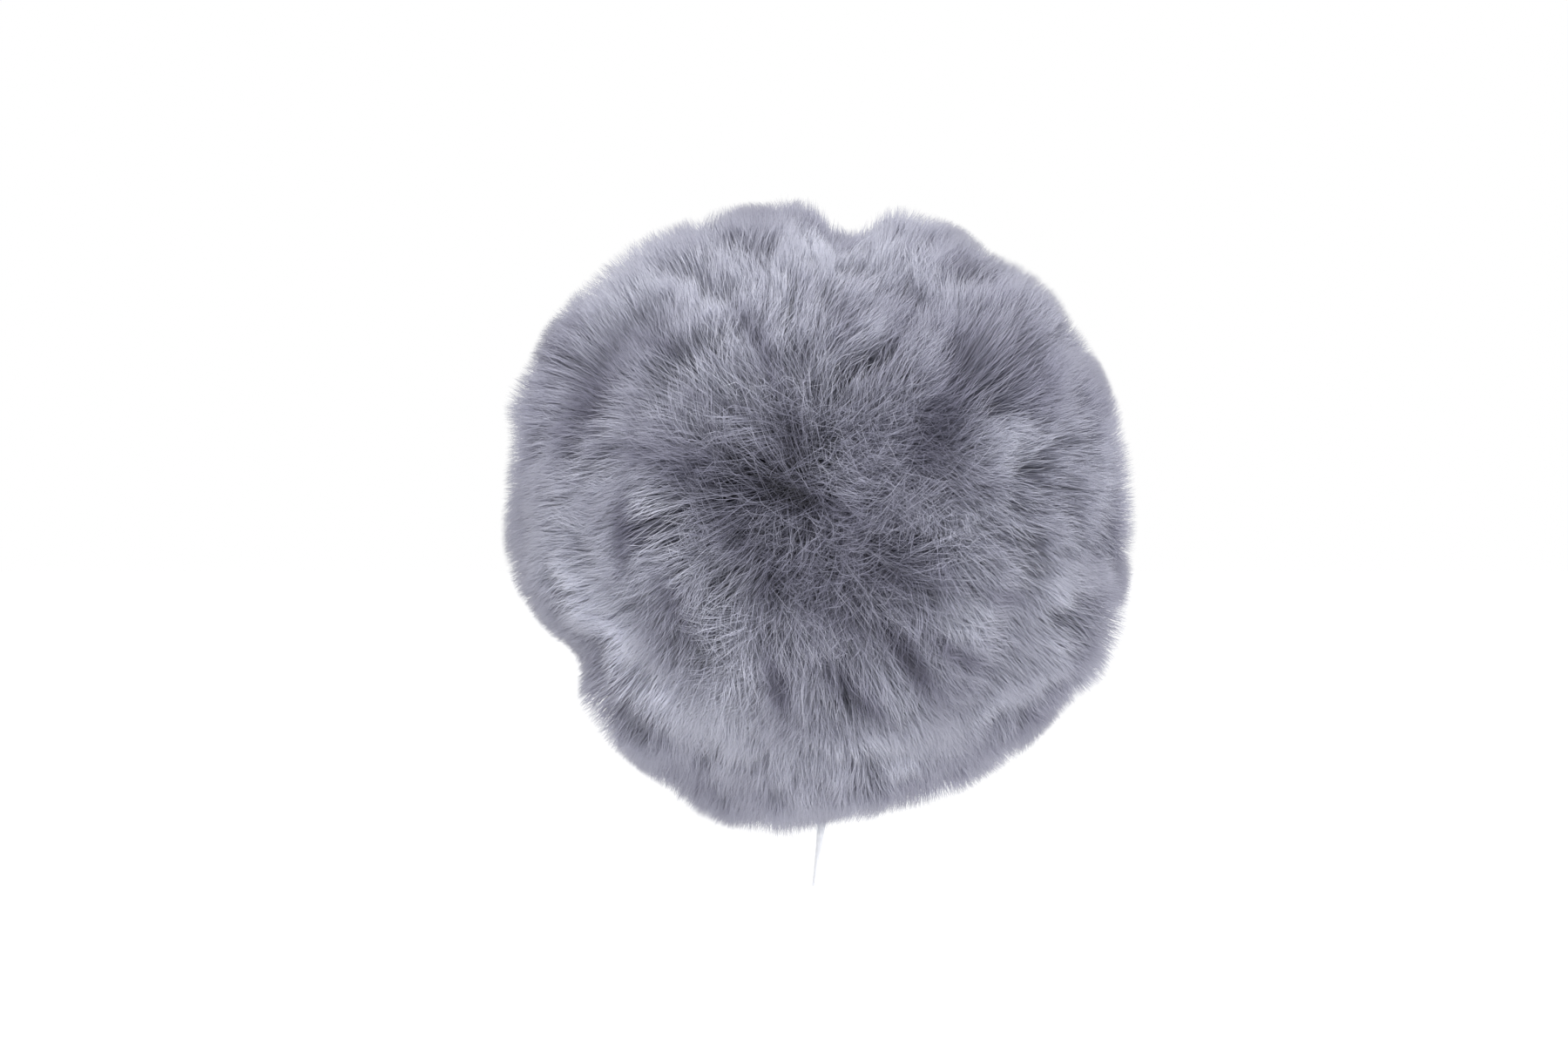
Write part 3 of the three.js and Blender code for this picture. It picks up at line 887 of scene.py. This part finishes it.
barrel_low, barrel_high = (np.array(corner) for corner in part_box("lock_barrel"))
LOCK_CENTRE = (barrel_low + barrel_high) / 2 * [0, 1, 1]
BARREL_RADIUS = float(barrel_high[1] - barrel_low[1]) / 2
BARREL_CLOSED, BARREL_OPEN = float(barrel_low[0]), float(barrel_high[0])
BARREL_BORE = 4.9 * MM
BARREL_WALL = 2 * MM
PLUNGER_FRONT, HEAD_END = (float(corner[0]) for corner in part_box("lock_plunger"))
PLUNGER_RADIUS = 4.6 * MM
HEAD_RADIUS = 5.8 * MM
HEAD_LENGTH = 2 * MM
LOCK_TRAVEL = 2.8 * MM
SLOT_HALF = 2.25 * MM
SLOT_RADIUS = CORD_RADIUS + CLEAR


def laid(vertices):
    """A shape turned about Y, laid along X at the lock's centre."""
    return np.stack([vertices[:, 1], -vertices[:, 0], vertices[:, 2]], axis=1) + LOCK_CENTRE


def slot_cutter(start, end):
    """An upright slot with round ends, which the two tails run through."""
    height = 3 * BARREL_RADIUS
    half = np.radians(np.linspace(-90, 90, 13))
    outline = [(end - SLOT_RADIUS + SLOT_RADIUS * math.cos(a), SLOT_RADIUS * math.sin(a)) for a in half]
    outline += [(start + SLOT_RADIUS - SLOT_RADIUS * math.cos(a), -SLOT_RADIUS * math.sin(a)) for a in half]
    count = len(outline)
    vertices = [(x, y, z) for z in (-height / 2, height / 2) for x, y in outline]
    faces = [tuple(range(count)), tuple(range(2 * count - 1, count - 1, -1))]
    faces += [(k, (k + 1) % count, count + (k + 1) % count, count + k) for k in range(count)]
    return shaped("slot", np.array(vertices) + LOCK_CENTRE, faces)


def add_barrel(look):
    """The barrel, with three grip grooves and a shallow dish in its closed end."""
    groove_depth = 0.4 * MM
    grooves = []
    for middle in np.array([-9.2, -7.4, -5.6]) * MM:
        for depth, along in ((0, -0.55), (groove_depth, -0.15), (groove_depth, 0.15), (0, 0.55)):
            grooves.append((BARREL_RADIUS - depth, middle + along * MM))
    dished = BARREL_CLOSED + 0.35 * MM
    floor = BARREL_CLOSED + BARREL_WALL
    outline = [(0.0, dished), (3.4 * MM, dished), (3.9 * MM, BARREL_CLOSED), (BARREL_RADIUS, BARREL_CLOSED),
               *grooves, (BARREL_RADIUS, BARREL_OPEN), (BARREL_BORE, BARREL_OPEN), (BARREL_BORE, floor),
               (0.0, floor)]
    vertices, faces = turned(rounded(outline, 0.7 * MM, closed=False, steps=5), 96, closed=False)
    barrel = shaped("lock_barrel_shell", laid(vertices), faces)
    cut(barrel, slot_cutter(-SLOT_HALF, SLOT_HALF))
    dressed(barrel, look, "lock_plastic", "lock_barrel", body="cord_lock")


def add_button(look):
    """The push button, with three fine rings on its head and a slot as long as its travel."""
    ring_depth = 0.3 * MM
    head_start = HEAD_END - HEAD_LENGTH
    rings = []
    for radius in np.array([4.3, 3.2, 2.1]) * MM:
        rings += [(radius + ring_depth, HEAD_END), (radius, HEAD_END - ring_depth),
                  (radius - ring_depth, HEAD_END)]
    outline = [(0.0, PLUNGER_FRONT), (PLUNGER_RADIUS, PLUNGER_FRONT), (PLUNGER_RADIUS, head_start),
               (HEAD_RADIUS, head_start), (HEAD_RADIUS, HEAD_END), *rings, (0.0, HEAD_END)]
    vertices, faces = turned(rounded(outline, 0.45 * MM, closed=False), 96, closed=False)
    button = shaped("lock_push_button", laid(vertices), faces)
    cut(button, slot_cutter(-SLOT_HALF, SLOT_HALF + LOCK_TRAVEL))
    dressed(button, look, "lock_plastic", "lock_plunger", body="lock_button")


def add_spring():
    """The lock's spring, a coil of wire from the barrel's floor to the button."""
    wire, coil, turns = 0.28 * MM, 3.4 * MM, 3.5
    seat = BARREL_CLOSED + BARREL_WALL + CLEAR
    start, end = seat + wire, PLUNGER_FRONT - CLEAR - wire
    t = np.linspace(0, 1, 260)
    angle = math.tau * turns * t
    points = np.stack([start + (end - start) * t, coil * np.cos(angle), coil * np.sin(angle)], axis=1)
    vertices, faces = drawn(points + LOCK_CENTRE, wire, 12)
    spring = shaped("lock_coil_spring", vertices, faces, sharp=60)
    dressed(spring, steel_material("spring_steel", 0.28), "steel", "lock_spring", body="cord_lock")
    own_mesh(spring)


lock_look = plastic_material("lock_plastic", (0.018, 0.018, 0.02), (0.04, 0.04, 0.043), 0.38)
add_barrel(lock_look)
add_button(lock_look)
add_spring()

# ---- fur ----

LOCKS = 1500  # over the whole ball
TWISTS = 9000  # finer bundles of hair within the locks
TIP_RADIUS = 61.5 * MM  # where the pile's outline lies, apart from its lobes
LONGEST = 33 * MM  # no hair is longer
LIGHT_LENGTH = 1.08  # a hair this many times the pile's depth is as light at its tip as any; shorter hairs end deeper in the pile, where their tips get painted shade
TONE_SPAN = 14.0  # tones lie within this on both sides of nought
NEAR_SCALE = 1.05  # how much larger the crown side looks than the ball's middle, which is further away

# The pile's two layers. count: the hairs in each piece. rings: where along a hair its rings lie. reach:
# the least and the greatest share of the pile's depth that hairs come to at the crown. even: the least
# share further out. pull: how much a hair follows its twist. frizz: how far its rings stray.
GUARD = {
    "suffixes": ("guard_hair_a", "guard_hair_b"), "count": 8000, "rings": (0.0, 0.3, 0.6, 0.87, 1.0),
    "thickness": 0.145 * MM, "reach": (0.88, 1.0), "even": 0.97, "pull": (0.25, 0.85), "frizz": 0.35 * MM,
    "seed": 100,
}
UNDER = {
    "suffixes": ("underfur_a", "underfur_b"), "count": 11000, "rings": (0.0, 0.45, 0.86, 1.0),
    "thickness": 0.15 * MM, "reach": (0.66, 0.985), "even": 0.75, "pull": (0.1, 0.6), "frizz": 0.45 * MM,
    "seed": 200,
}

# Where the pile's outline stands out or dips: azimuth and width in degrees, share of the radius.
LOBES = [(15, 4, 0.01), (44, 6, 0.014), (56, 4, -0.017), (84, 5, -0.105), (100, 3, -0.015),
         (126, 11, 0.035), (145, 10, 0.04), (160, 6, 0.045), (200, 5, -0.025), (210.5, 7, -0.1),
         (251, 7, 0.045), (263, 7, 0.035), (284, 6, -0.015), (331, 7, 0.042), (340, 8, 0.025)]

# Partings in the pile, on the crown side: place in X and Z, direction in degrees, half length, half
# width, all in millimetres, how far the hair splays, and how dark the painted shade in its crease is.
PARTINGS = [
    (-6, 3.2, 158, 7.5, 2.4, 0.9, 13.0), (-6, 14, 97, 7, 2.6, 0.5, 4.5), (27, 21, 56, 12, 5.5, 0.4, 3.6),
    (-24, 11, 25, 10, 5, 0.35, 2.2), (-40.5, -5, 83, 6.5, 2.2, 0.8, 8.0), (-26, -3, 90, 5, 2.2, 0.5, 3.0),
    (-18.5, -5, 130, 4, 2.6, 0.5, 8.0), (-10, -15, 95, 6, 4, 0.4, 2.6), (7.5, -39.5, 132, 7, 2.4, 0.9, 11.0),
    (19, -32, 122, 7, 2.4, 0.8, 10.0), (28, -29.5, 145, 7, 2.4, 0.6, 5.0),
    (-9, -36, 101, 6.5, 2.2, 0.7, 8.0), (-31, -18, 115, 6, 2.2, 0.35, 4.5),
    (-47, 25, 54, 9, 4.5, 0.35, 3.0), (5, 37, 95, 9, 4, 0.35, 1.8), (43, -6, 5, 8, 4, 0.3, 0.8),
    (5, 54, 85, 9, 3.5, 0.5, 0.4), (-48, -26, 29, 9, 4, 0.3, 0.5), (-20, 22, 155, 10, 2.4, 0.3, 3.2),
    (-42, 12, 165, 8, 3, 0.3, 2.0), (15, 34, 70, 8, 3, 0.3, 1.8), (34, 4, 10, 7, 3, 0.3, 1.4),
    (-14, 37, 120, 8, 2.2, 0.3, 3.2), (38, -18, 165, 8, 2.0, 0.3, 3.0), (7, -25, 150, 6, 2.2, 0.3, 4.0),
    (-28, 33, 152, 10, 1.8, 0.25, 3.4), (-10, 28, 110, 7, 2.0, 0.3, 2.6), (14, -15, 160, 7, 2.2, 0.3, 3.0),
]
# Where the pile is swept aside: place in X and Z, radius in millimetres, direction in degrees, how far.
SWEEPS = [(10, -34, 14, -48, 0.45), (28, -22, 12, -40, 0.25), (-30, 28, 12, 160, 0.25),
          (-30, -14, 10, -95, 0.3), (38, 2, 12, 0, 0.15)]
# The place that the hair whirls round, how wide the whorl is, and how strongly it turns.
WHORL = {"place": (-32, -5), "width": math.radians(8), "turn": 1.3}

# Painted highlights and painted shade on the pile: place in X and Z, radius in millimetres, and how much
# lighter.
PAINTED_PATCHES = [
    (30, -24, 5, 2.2), (40, 17, 7, 1.0), (2, 54, 9, 1.5), (-24, 27, 8, 1.5), (5, 27, 8, 1.0),
    (-46, -28, 8, 4.2), (-54, -18, 8, 3.2), (-37, -38, 8, 3.4), (-20, -43, 10, 0.7), (-46, -10, 8, 0.6),
    (49, -16, 10, 2.0), (-35, 0, 6, 2.6), (-31, -10, 7, 2.4), (-38, -14, 5, 1.6), (-20, -20, 8, 1.7),
    (2, -40, 5, 1.0), (27, -3, 7, 1.1), (18, 1, 6, 1.6), (1, 10, 7, 2.6), (15, 10, 5, 1.8),
    (33, -40, 7, 0.6), (-17, 16, 6, 1.2),
    (-34, 13, 9, -3.3), (-26, 8, 8, -2.0), (-51, 18, 9, -3.2), (-45, 28, 9, -2.6), (-36, 37, 8, -2.4),
    (24, 14, 8, -2.4), (28, 24, 9, -1.6), (44, 27, 11, -3.8), (31, 38, 8, -2.0), (-15, 38, 9, -0.7),
    (-17, 1, 7, -1.2), (-11, -14, 7, -1.4), (-1, -16, 7, -1.6), (22, -15, 7, -1.8), (-11, 7, 6, -1.0),
    (-5, 15, 5, -1.6), (27, -37, 6, -1.4),
]


class Ripple:
    """A smooth random field over points of the unit sphere, made of a few sine waves."""

    def __init__(self, seed, frequency, channels=1, waves=10):
        rng = np.random.default_rng(seed)
        self.directions = unit(rng.normal(size=(channels, waves, 3)))
        self.directions *= frequency * rng.uniform(0.6, 1.4, (channels, waves, 1))
        self.phases = rng.uniform(0, math.tau, (channels, waves))
        self.scale = math.sqrt(2 / waves)

    def __call__(self, n):
        angles = np.einsum("cwk,nk->ncw", self.directions, n) + self.phases
        return np.sin(angles).sum(axis=2) * self.scale


# From broad waves of the pile down to the crown's tangles, then how deep the seams are, then broad painted
# light and shade.
wave_field = Ripple(3, 5.0, channels=3)
lock_field = Ripple(4, 11.0, channels=3)
tuft_field = Ripple(7, 22.0, channels=3)
mess_field = Ripple(6, 34.0, channels=3)
part_field = Ripple(5, 4.0)
# broad painted light and shade on the pile
painted_shading_field = Ripple(8, 12.0)


def normals_at(theta, phi):
    """Unit vectors by their angle from the crown and the angle round it."""
    ring = np.sin(theta)
    return np.stack([ring * np.cos(phi), -np.cos(theta), ring * np.sin(phi)], axis=-1)


def angles_of(n):
    theta = np.arccos(np.clip(-n[:, 1], -1, 1))
    phi = np.arctan2(n[:, 2], n[:, 0]) % math.tau
    return theta, phi


def degree_step(low, high, angle):
    """smoothstep between two angles in degrees."""
    return smoothstep(math.radians(low), math.radians(high), angle)


def crown_share(theta, width=24, power=2):
    """1 at the crown, falling to nothing over about that many degrees."""
    return np.exp(-((theta / math.radians(width)) ** power))


def heading(degrees):
    """A unit vector in the X-Z plane."""
    return np.array([math.cos(math.radians(degrees)), 0, math.sin(math.radians(degrees))])


def crown_normal(x, z):
    """The unit normal at a place on the crown side, given in millimetres as it looks from the front."""
    x, z = x * MM / (NEAR_SCALE * TIP_RADIUS), z * MM / (NEAR_SCALE * TIP_RADIUS)
    return np.array([x, -math.sqrt(1 - x * x - z * z), z])


def closeness(n, x, z, radius):
    """1 at a place on the crown side, falling to nothing past that radius in millimetres."""
    apart = np.linalg.norm(n - crown_normal(x, z), axis=1) * TIP_RADIUS / (radius * MM)
    return np.exp(-apart * apart)


def along_surface(v, n):
    """The part of each vector that lies along the ball's surface."""
    return v - (v * n).sum(axis=1, keepdims=True) * n


def scattered(count, rng):
    """Even but irregular places over the ball from the crown to the hem."""
    share = (np.arange(count) + rng.uniform(0, 1, count)) / count
    theta = np.arccos(1 - share * (1 - math.cos(HEM_ANGLE)))
    phi = (np.arange(count) * math.pi * (3 - math.sqrt(5)) + rng.uniform(-0.3, 0.3, count)) % math.tau
    return normals_at(theta, phi)


# ---- which way the pile leans ----


def seam_splay(n, theta, phi):
    """How the pile leans away from the six seams."""
    turn = np.stack([-np.sin(phi), np.zeros_like(phi), np.cos(phi)], axis=-1)
    offset = (phi - FIRST_SEAM + SEAM_STEP / 2) % SEAM_STEP - SEAM_STEP / 2
    distance = SKIN_RADIUS * np.sin(theta) * offset
    depth = np.clip(0.25 + 0.25 * part_field(n)[:, 0], 0, 1) * smoothstep(0.25, 0.7, theta)
    splay = np.tanh(distance / (1.2 * MM)) * np.exp(-((distance / (4 * MM)) ** 2)) * depth
    return splay[:, None] * turn


def shown_at(n):
    """Where hair rooted at n shows its tips: combed further out from the crown."""
    theta, phi = angles_of(n)
    return normals_at(theta + math.radians(12) * degree_step(8, 40, theta), phi)


def across_parting(shown, x, z, direction, half_length, half_width):
    """Places along and across a parting, in half lengths and half widths, and the way across."""
    middle = crown_normal(x, z)
    line = heading(direction)
    line = unit(line - (line @ middle) * middle)
    side = np.cross(line, middle)
    u = (shown - middle) @ line * TIP_RADIUS / (half_length * MM)
    v = (shown - middle) @ side * TIP_RADIUS / (half_width * MM)
    return u, v, side, shown @ middle > 0


def parting_splay(shown):
    lean = np.zeros_like(shown)
    for *line, strength, _ in PARTINGS:
        u, v, side, near_side = across_parting(shown, *line)
        near = np.exp(-u * u - v * v) * near_side
        lean += (np.tanh(v / 0.3) * near * strength)[:, None] * side
    return lean


def lean_of(n):
    """Which way, and how far, the pile leans at each place: a vector along the surface."""
    theta, phi = angles_of(n)
    shown = shown_at(n)
    crown = crown_share(theta)[:, None]
    away = np.stack([np.cos(theta) * np.cos(phi), np.sin(theta), np.cos(theta) * np.sin(phi)], axis=-1)
    comb = 0.42 * degree_step(8, 40, theta) + 0.1 * degree_step(95, 139, theta)
    lean = comb[:, None] * away
    lean += wave_field(n) * 0.17 + lock_field(n) * 0.15 + tuft_field(n) * 0.12
    lean += mess_field(n) * (0.04 + 0.85 * crown)
    lean += seam_splay(n, theta, phi) + parting_splay(shown)
    hub = crown_normal(*WHORL["place"])
    near = np.exp(-((np.arccos(np.clip(shown @ hub, -1, 1)) / WHORL["width"]) ** 2))
    lean += (near * WHORL["turn"])[:, None] * unit(np.cross(hub, shown))
    for *place, direction, amount in SWEEPS:
        lean += (amount * closeness(shown, *place))[:, None] * heading(direction)
    droop = np.array([0, 0, -0.08])
    return along_surface((lean + droop) * (1 + 0.9 * crown), n)


# ---- painted light and shade on the pile ----


def painted_light_and_shade_at(n):
    """How light the pile's surface is painted there: painted shade at the matted crown, where the hair is
    seen end-on, and in a band towards the outline, lighter down the sides, with painted lighter and darker
    patches and painted shade in the partings' creases.
    """
    theta, _ = angles_of(n)
    rim = degree_step(55, 80, theta) * (1 - degree_step(88, 105, theta))
    # painted shade at the crown and in the band towards the outline, and broad painted light and shade from
    # the field
    tone = 1.7 - 4.8 * crown_share(theta, power=3) - 1.8 * rim + 0.45 * painted_shading_field(n)[:, 0]
    # painted highlights and painted shade in patches
    for *place, amount in PAINTED_PATCHES:
        tone += amount * closeness(n, *place)
    # painted shade in each parting's crease
    for *line, _, crease in PARTINGS:
        u, v, _, near_side = across_parting(n, *line)
        tone -= crease * np.exp(-u * u - (1.3 * v) ** 2) * near_side
    return tone


# ---- hairs ----


def outline_at(n):
    """The radius at which the longest hairs end, for a direction from the ball's centre."""
    theta, phi = angles_of(n)
    factor = np.ones(len(n))
    rim = degree_step(35, 65, theta)
    for azimuth, width, amount in LOBES:
        gap = (np.degrees(phi) - azimuth + 180) % 360 - 180
        factor += amount * rim * np.exp(-((gap / width) ** 2))
    return TIP_RADIUS * factor


def unit_paths(n, lean, curl, rings):
    """Each hair's ring centres from its root, for a hair one unit long."""
    points = [np.zeros_like(n)]
    across = np.cross(n, lean)
    for start, end in zip(rings[:-1], rings[1:]):
        middle = (start + end) / 2
        turn = curl * middle
        bent = lean * np.cos(turn)[:, None] + across * np.sin(turn)[:, None]
        way = unit(n + bent * (0.25 + 1.3 * middle))
        points.append(points[-1] + way * (end - start))
    return np.stack(points, axis=1)


def length_to(n, shape, radius):
    """How long a hair of that shape has to be to end at that radius, up to the longest."""
    tip = shape[:, -1]
    size = (tip * tip).sum(axis=1)
    outward = SKIN_RADIUS * (n * tip).sum(axis=1)
    root = np.sqrt(np.maximum(outward ** 2 + size * (radius ** 2 - SKIN_RADIUS ** 2), 0))
    return np.minimum((root - outward) / size, LONGEST)


def grown(n, shape, length):
    """Ring centres in their places, for hairs rooted at n."""
    return CENTRE + n[:, None, :] * SKIN_RADIUS + shape * length[:, None, None]


def nearest(n, centres):
    """The index of the nearest centre to each place, worked out in blocks to save memory."""
    best = np.empty(len(n), int)
    size = 8192
    for start in range(0, len(n), size):
        best[start:start + size] = (n[start:start + size] @ centres.T).argmax(axis=1)
    return best


def drawn_together(own, guide, share, extra, rings):
    """Pulls hairs towards their lock's guide, more towards the tip."""
    pull = (share[:, None] * rings ** 1.1)[:, :, None]
    way = unit(guide[:, -1] - guide[:, -2])
    target = guide + way[:, None, :] * (extra[:, None] * rings)[:, :, None]
    return own + pull * (target - own)


def ending_at(points, height):
    """Stretches or shortens hairs a little, so that their tips end at the given height above the skin."""
    reached = np.linalg.norm(points[:, -1] - CENTRE, axis=1)
    stretch = np.clip(height / (reached - SKIN_RADIUS), 0.2, 1.2)
    roots = points[:, :1]
    return roots + (points - roots) * stretch[:, None, None]


def make_guides():
    """Locks, and the finer twists of hair inside them: their roots, lean, curl and tone."""
    rng = np.random.default_rng(21)
    lock_n = scattered(LOCKS, rng)
    lock_lean = along_surface(lean_of(lock_n) + rng.normal(0, 0.16, (LOCKS, 3)), lock_n)
    lock_curl = rng.normal(0, 1, LOCKS) * (0.35 + 0.7 * crown_share(angles_of(lock_n)[0], 22))
    twist_n = scattered(TWISTS, rng)
    home = nearest(twist_n, lock_n)
    twist_lean = along_surface(lean_of(twist_n) + rng.normal(0, 0.1, (TWISTS, 3)), twist_n)
    return {
        "lock_n": lock_n, "lock_lean": lock_lean, "lock_curl": lock_curl,
        "twist_n": twist_n, "twist_lean": twist_lean, "home": home,
        "twist_curl": lock_curl[home] + rng.normal(0, 0.2, TWISTS),
        "twist_share": rng.uniform(0.25, 0.7, TWISTS),
        "twist_reach": rng.uniform(0.98, 1.0, TWISTS),
        "tone": rng.normal(0, 1, LOCKS)[home] * 0.7 + rng.normal(0, 1, TWISTS) * 0.4,
    }


def guide_paths(guides, rings):
    """The twists' ring centres, drawn towards their locks', and the twists' lengths."""
    n, home = guides["twist_n"], guides["home"]
    lock_shape = unit_paths(guides["lock_n"], guides["lock_lean"], guides["lock_curl"], rings)
    lock_length = length_to(guides["lock_n"], lock_shape, outline_at(guides["lock_n"]))
    locks = grown(guides["lock_n"], lock_shape, lock_length)
    shape = unit_paths(n, guides["twist_lean"], guides["twist_curl"], rings)
    length = length_to(n, shape, outline_at(n) * guides["twist_reach"])
    extra = length - lock_length[home]
    paths = drawn_together(grown(n, shape, length), locks[home], guides["twist_share"], extra, rings)
    return paths, length


def tubes(points, radii):
    """Closed three-sided hairs along the ring centres, each ending in a point."""
    count, rings, _ = points.shape
    ahead = unit(np.gradient(points, axis=1))
    side = unit(np.cross(ahead, ASKEW))
    other = np.cross(ahead, side)
    corners = []
    for angle in np.arange(3) * math.tau / 3:
        outward = math.cos(angle) * side[:, :-1] + math.sin(angle) * other[:, :-1]
        corners.append(points[:, :-1] + radii[:, :-1, None] * outward)
    body = np.stack(corners, axis=2).reshape(count, (rings - 1) * 3, 3)
    vertices = np.concatenate([body, points[:, -1:]], axis=1)
    faces = [(0, 2, 1)]
    for first in range(0, 3 * (rings - 2), 3):
        for k in range(3):
            a, b = first + k, first + (k + 1) % 3
            faces += [(a, b, b + 3), (a, b + 3, a + 3)]
    last, tip = 3 * (rings - 2), 3 * (rings - 1)
    faces += [(last + k, last + (k + 1) % 3, tip) for k in range(3)]
    triangles = (np.array(faces)[None] + (np.arange(count) * (tip + 1))[:, None, None]).reshape(-1, 3)
    return vertices.reshape(-1, 3), triangles


def at_corners(values):
    """Values at each hair's rings as values at its tube's corners: three for a ring, one for the tip."""
    return np.concatenate([np.repeat(values[:, :-1], 3, axis=1), values[:, -1:]], axis=1)


def chart_places(tone, depth, rings):
    """The bake's layout: tone across and depth up, with each hair a narrow column of its own tone."""
    across = at_corners(np.zeros((1, rings)))
    across[0, :-1] = np.tile([-0.004, 0.0, 0.004], rings - 1)
    return np.stack([(0.5 + 0.48 * tone / TONE_SPAN + across).ravel(), 0.02 + 0.96 * depth.ravel()], axis=1)


def hair_paths(n, crown, guides, layer, rng):
    """Hairs rooted at n: their ring centres, how far up the pile's colours they go (painted shade darkens
    the pile's depth), and their twists.
    """
    count, rings = len(n), np.array(layer["rings"])
    twist_paths, twist_length = guide_paths(guides, rings)
    twist = nearest(n, guides["twist_n"])
    stray = rng.normal(0, 1, (count, 3)) * (0.1 + 0.1 * crown)[:, None]
    curl = guides["twist_curl"][twist] + rng.normal(0, 1, count) * (0.3 + 0.2 * crown)
    shape = unit_paths(n, along_surface(lean_of(n) + stray, n), curl, rings)
    least, greatest = layer["reach"]
    least = least + (layer["even"] - least) * (1 - crown)
    reach = greatest - (greatest - least) * rng.uniform(0, 1, count) ** 1.5
    pile = outline_at(n) - SKIN_RADIUS
    length = length_to(n, shape, SKIN_RADIUS + pile * reach)
    own = grown(n, shape, length)
    extra = length - twist_length[twist]
    points = drawn_together(own, twist_paths[twist], rng.uniform(*layer["pull"], count), extra, rings)
    points += rng.normal(0, layer["frizz"], points.shape) * rings[None, :, None]
    pointed = outline_at(unit(points[:, -1] - CENTRE)) - SKIN_RADIUS
    own_height = np.linalg.norm(own[:, -1] - CENTRE, axis=1) - SKIN_RADIUS
    points = ending_at(points, np.minimum(pointed * reach, own_height))
    return points, np.clip(length / (pile * LIGHT_LENGTH), 0, 1), twist


def hair_layer(name, gore, guides, layer, seed):
    """A piece of hair: a share of one layer over one gore."""
    rng = np.random.default_rng(seed)
    count, rings = layer["count"], np.array(layer["rings"])
    theta = np.arccos(1 - rng.uniform(0, 1, count) * (1 - math.cos(HEM_ANGLE)))
    n = normals_at(theta, SEAMS[gore] + rng.uniform(0, SEAM_STEP, count))
    crown = crown_share(theta, 22)
    points, climb, twist = hair_paths(n, crown, guides, layer, rng)
    taper = 1.0 - 0.6 * rings ** 4
    girth = rng.uniform(0.75, 1.25, (count, 1)) * (1 - 0.2 * crown)[:, None]
    vertices, triangles = tubes(points, layer["thickness"] / 2 * taper[None] * girth)
    # how far up the pile each corner lies: the fur's material paints shade the deeper it is
    depth = at_corners(rings[None] * climb[:, None])
    own_tone = (rng.normal(0, 0.3, count) + guides["tone"][twist] * 0.8) * (1 + 0.6 * crown)
    # painted light and shade, by where each ring lies, on top of each hair's own random tone
    painted_light_and_shade = painted_light_and_shade_at(unit(points - CENTRE).reshape(-1, 3)).reshape(count, len(rings))
    tone = at_corners(np.clip(own_tone[:, None] + painted_light_and_shade, -TONE_SPAN, TONE_SPAN))
    chart = chart_places(tone, depth, len(rings))
    return hair_piece(name, vertices, triangles, {"along": depth, "tone": tone}, chart[triangles.ravel()])


def fur_material():
    """Painted shade from dark roots and the pile's depth up to light tips: lavender grey where the tone is
    dark, and a plainer grey where it is light.
    """
    look = Look("fur", roughness=0.7, specular=0.2)
    look.give("Sheen Weight", 0.12)
    along, tone = look.attribute("along"), look.attribute("tone")
    # painted shade: dark at the roots and deep in the pile, light at the tips
    lavender = look.ramp(along, (0.0, (0.085, 0.085, 0.114)), (0.45, (0.242, 0.240, 0.333)),
                         (0.8, (0.35, 0.345, 0.47)), (1.0, (0.405, 0.400, 0.543)))
    plain = look.ramp(along, (0.0, (0.080, 0.083, 0.107)), (0.45, (0.230, 0.235, 0.283)),
                      (0.8, (0.334, 0.340, 0.393)), (1.0, (0.388, 0.393, 0.448)))
    # the tone holds each lock's own random tone and the painted light and shade; it shifts the hue and
    # scales the brightness
    lightness = look.math("MULTIPLY_ADD", tone, 0.12, 0.62)
    lightness = look.math("MINIMUM", look.math("MAXIMUM", lightness, 0.0), 1.0)
    scaled = look.nodes.new("ShaderNodeVectorMath")
    scaled.operation = "SCALE"
    look.put(scaled.inputs[0], look.mixed(lightness, lavender, plain))
    look.put(scaled.inputs["Scale"], look.math("POWER", 1.17, tone))
    look.give("Base Color", scaled.outputs[0])
    return look.material


def add_fur():
    guides = make_guides()
    look = fur_material()
    for gore, node in enumerate(GORES):
        for layer in (GUARD, UNDER):
            for part, suffix in enumerate(layer["suffixes"]):
                seed = layer["seed"] + 10 * part + gore
                dressed(hair_layer(f"{node}_{suffix}", gore, guides, layer, seed), look, "fur", node)


add_fur()
